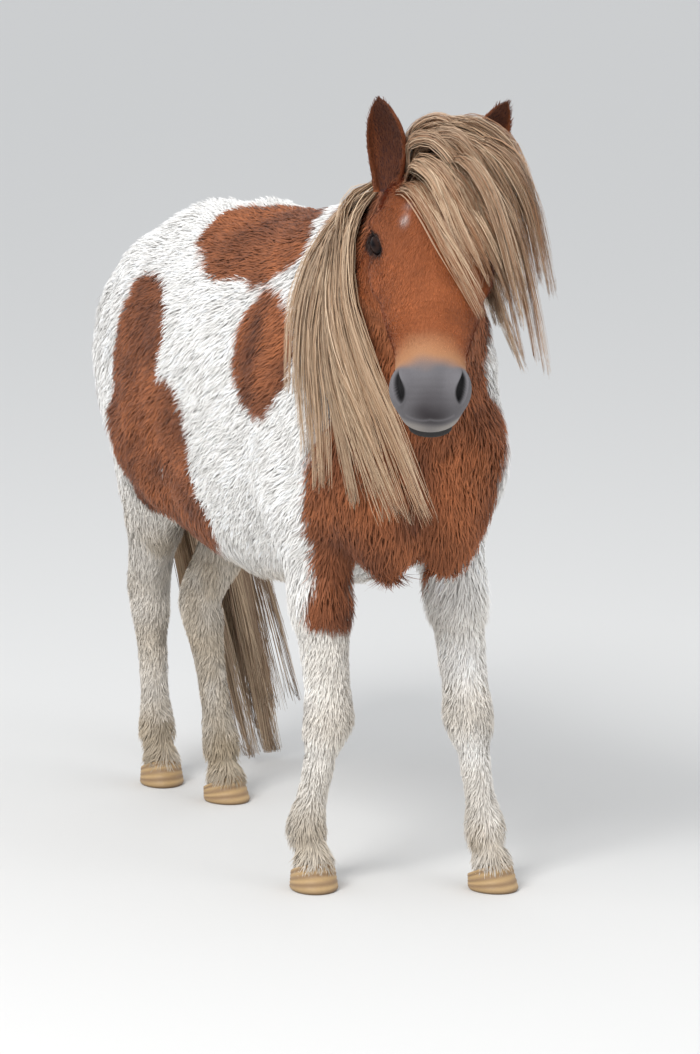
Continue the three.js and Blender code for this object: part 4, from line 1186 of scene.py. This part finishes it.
def ear(s, tip, node):
    base = from_head(EAR_ROOT * [s, 1, 1])
    along = unit(vec(*tip) - base)
    opened = turn_from_head([s * 0.42, 0.75, 0.35])
    front = unit(opened - along * (along @ opened))
    across = np.cross(along, front)
    outer, inner, rows = 25, 21, 30
    verts, tint = [], []
    for t in np.linspace(0, 1, rows):
        half, cup, thick = (np.interp(t, EAR_SHARES, row) for row in EAR_SIZES)
        bend = mix(base, vec(*tip), t) + front * (-10 * math.sin(math.pi * t) + 4)
        for k in range(outer):
            a = math.radians(mix(-100, 100, k / (outer - 1)))
            verts.append(bend + across * math.sin(a) * half - front * math.cos(a) * cup)
            tint.append(mix(RED * 0.8, DARK, ramp(abs(a), 1.1, 1.7) * 0.2 + 0.35 * t))
        for k in reversed(range(inner)):
            a = math.radians(mix(-100, 100, k / (inner - 1)))
            deep = front * math.cos(a) * (cup - thick)
            verts.append(bend + across * math.sin(a) * (half - 0.6 * thick) - deep)
            tint.append(mix(vec(0.05, 0.016, 0.012), RED * 0.5, float(ramp(abs(a), 1.0, 1.7))))
    piece = mesh_object(node + "_skin", np.array(verts), ring_faces(rows, outer + inner, True))
    edited(piece.data, face_outward)
    painted(piece, np.array(tint), skin_look, "ear_hair", node)
    p, n = scattered(piece.data, lambda q: np.full(len(q), 330e3 * (1)))
    inside = dot(n, np.tile(front, (len(n), 1))) > 0.1
    edge = ramp(np.abs((p - base) @ across), 12, 20)
    way = unit(along + 0.35 * front * inside[:, None] + 0.25 * noise_vectors(p, 9, 51))
    way = unit(way - n * dot(way, n)[:, None] * 0.9)
    length = np.where(inside, 8.0, 5.0) * (0.8 + 0.5 * rng.random(len(p)))
    c = tone(RED * 0.75, DARK, np.where(inside, 0.85 - 0.5 * edge, 0.35))
    fur = tufts(node + "_fur", p, n, length, np.full(len(p), 0.5), np.where(inside, 1.6, 0.9), 3, way, c)


ear(-1, (-136, -562, 1146), "ear_right")
ear(1, (39, -586, 1136), "ear_left")

# Hooves, with growth rings

HORN, HORN_DARK, SOLE = vec(0.50, 0.33, 0.16), vec(0.30, 0.19, 0.10), vec(0.2, 0.14, 0.09)
horn_look = tinted("horn_look", 0.5, 0.4, 260, 0.35, (1, 1, 7), spread=0.16)


def hoof(name):
    sides, rows = 56, 26
    x, y, turn = FEET[name]
    centre = vec(x, y, 0)
    c, d = math.cos(math.radians(turn)), math.sin(math.radians(turn))
    heights, shares, backs = [0, 3, 30, 62], [0.95, 1, 0.9, 0.78], [0, 1, 8, 18]
    verts, tint = [], []
    for i in range(rows):
        s = i / (rows - 1)
        for j in range(sides):
            a = -2 * math.pi * j / sides
            z = s * 30
            for _ in range(3):
                share, back = np.interp(z, heights, shares), np.interp(z, heights, backs)
                share -= 0.012 * math.sin(s * 34 + 0.4 * math.sin(a * 2)) * (0.15 < s < 0.92)
                fore = math.sin(a)
                dx, dy = math.cos(a) * HOOF_HALF * share, -fore * share * (44 if fore > 0 else 33) + back
                z = s * max(30 - 0.445 * dy, 6)
            verts.append(vec(dx * c - dy * d, dx * d + dy * c, z) + centre)
            band = mix(HORN, HORN_DARK, 0.5 + 0.5 * math.sin(s * 21 + a))
            tint.append(band * mix(0.55, 1, min(1, s * 6)))
    n = len(verts)
    verts += [centre, centre + vec(0, 10, 28)]
    tint += [SOLE] * 2
    faces = ring_faces(rows, sides, True)
    faces += [(n, j, (j + 1) % sides) for j in range(sides)]
    top = (rows - 1) * sides
    faces += [(n + 1, top + (j + 1) % sides, top + j) for j in range(sides)]
    piece = mesh_object("horn_" + name, np.array(verts), faces)
    edited(piece.data, face_outward)
    painted(piece, np.array(tint), horn_look, "horn", "hoof_" + name)


for name in LEGS:
    hoof(name)

# Floor and light

FLOOR_HALF = 70
corners = [(x * FLOOR_HALF, y * FLOOR_HALF, 0) for x, y in ((-1, -1), (1, -1), (1, 1), (-1, 1))]
floor_mesh = bpy.data.meshes.new("floor")
floor_mesh.from_pydata(corners, [], [(0, 1, 2, 3)])
floor = placed("floor", floor_mesh)
floor.location.z = -0.0005
floor_look, nodes, links, shader = principled("floor_look")
put(shader, Base_Color=(0.74, 0.73, 0.71, 1), Roughness=0.85)
floor_mesh.materials.append(floor_look)

world = bpy.data.worlds.new("studio")
bpy.context.scene.world = world
world.use_nodes = True
put(world.node_tree.nodes["Background"], Color=(0.93, 0.96, 1.0, 1), Strength=0.85)


def lamp(name, place, aim, power, width):
    light = bpy.data.lights.new(name, "AREA")
    light.energy, light.size = power, width
    ob = placed(name, light)
    ob.location = place
    ob.rotation_euler = (Vector(aim) - Vector(place)).to_track_quat("-Z", "Y").to_euler()


lamp("key", (-3.4, -2.2, 4.6), (0, 0, 0.7), 210, 2.2)
lamp("fill", (3.0, -4.5, 2.6), (0, -0.3, 0.7), 45, 3.0)
bpy.context.scene.view_settings.view_transform = "Standard"
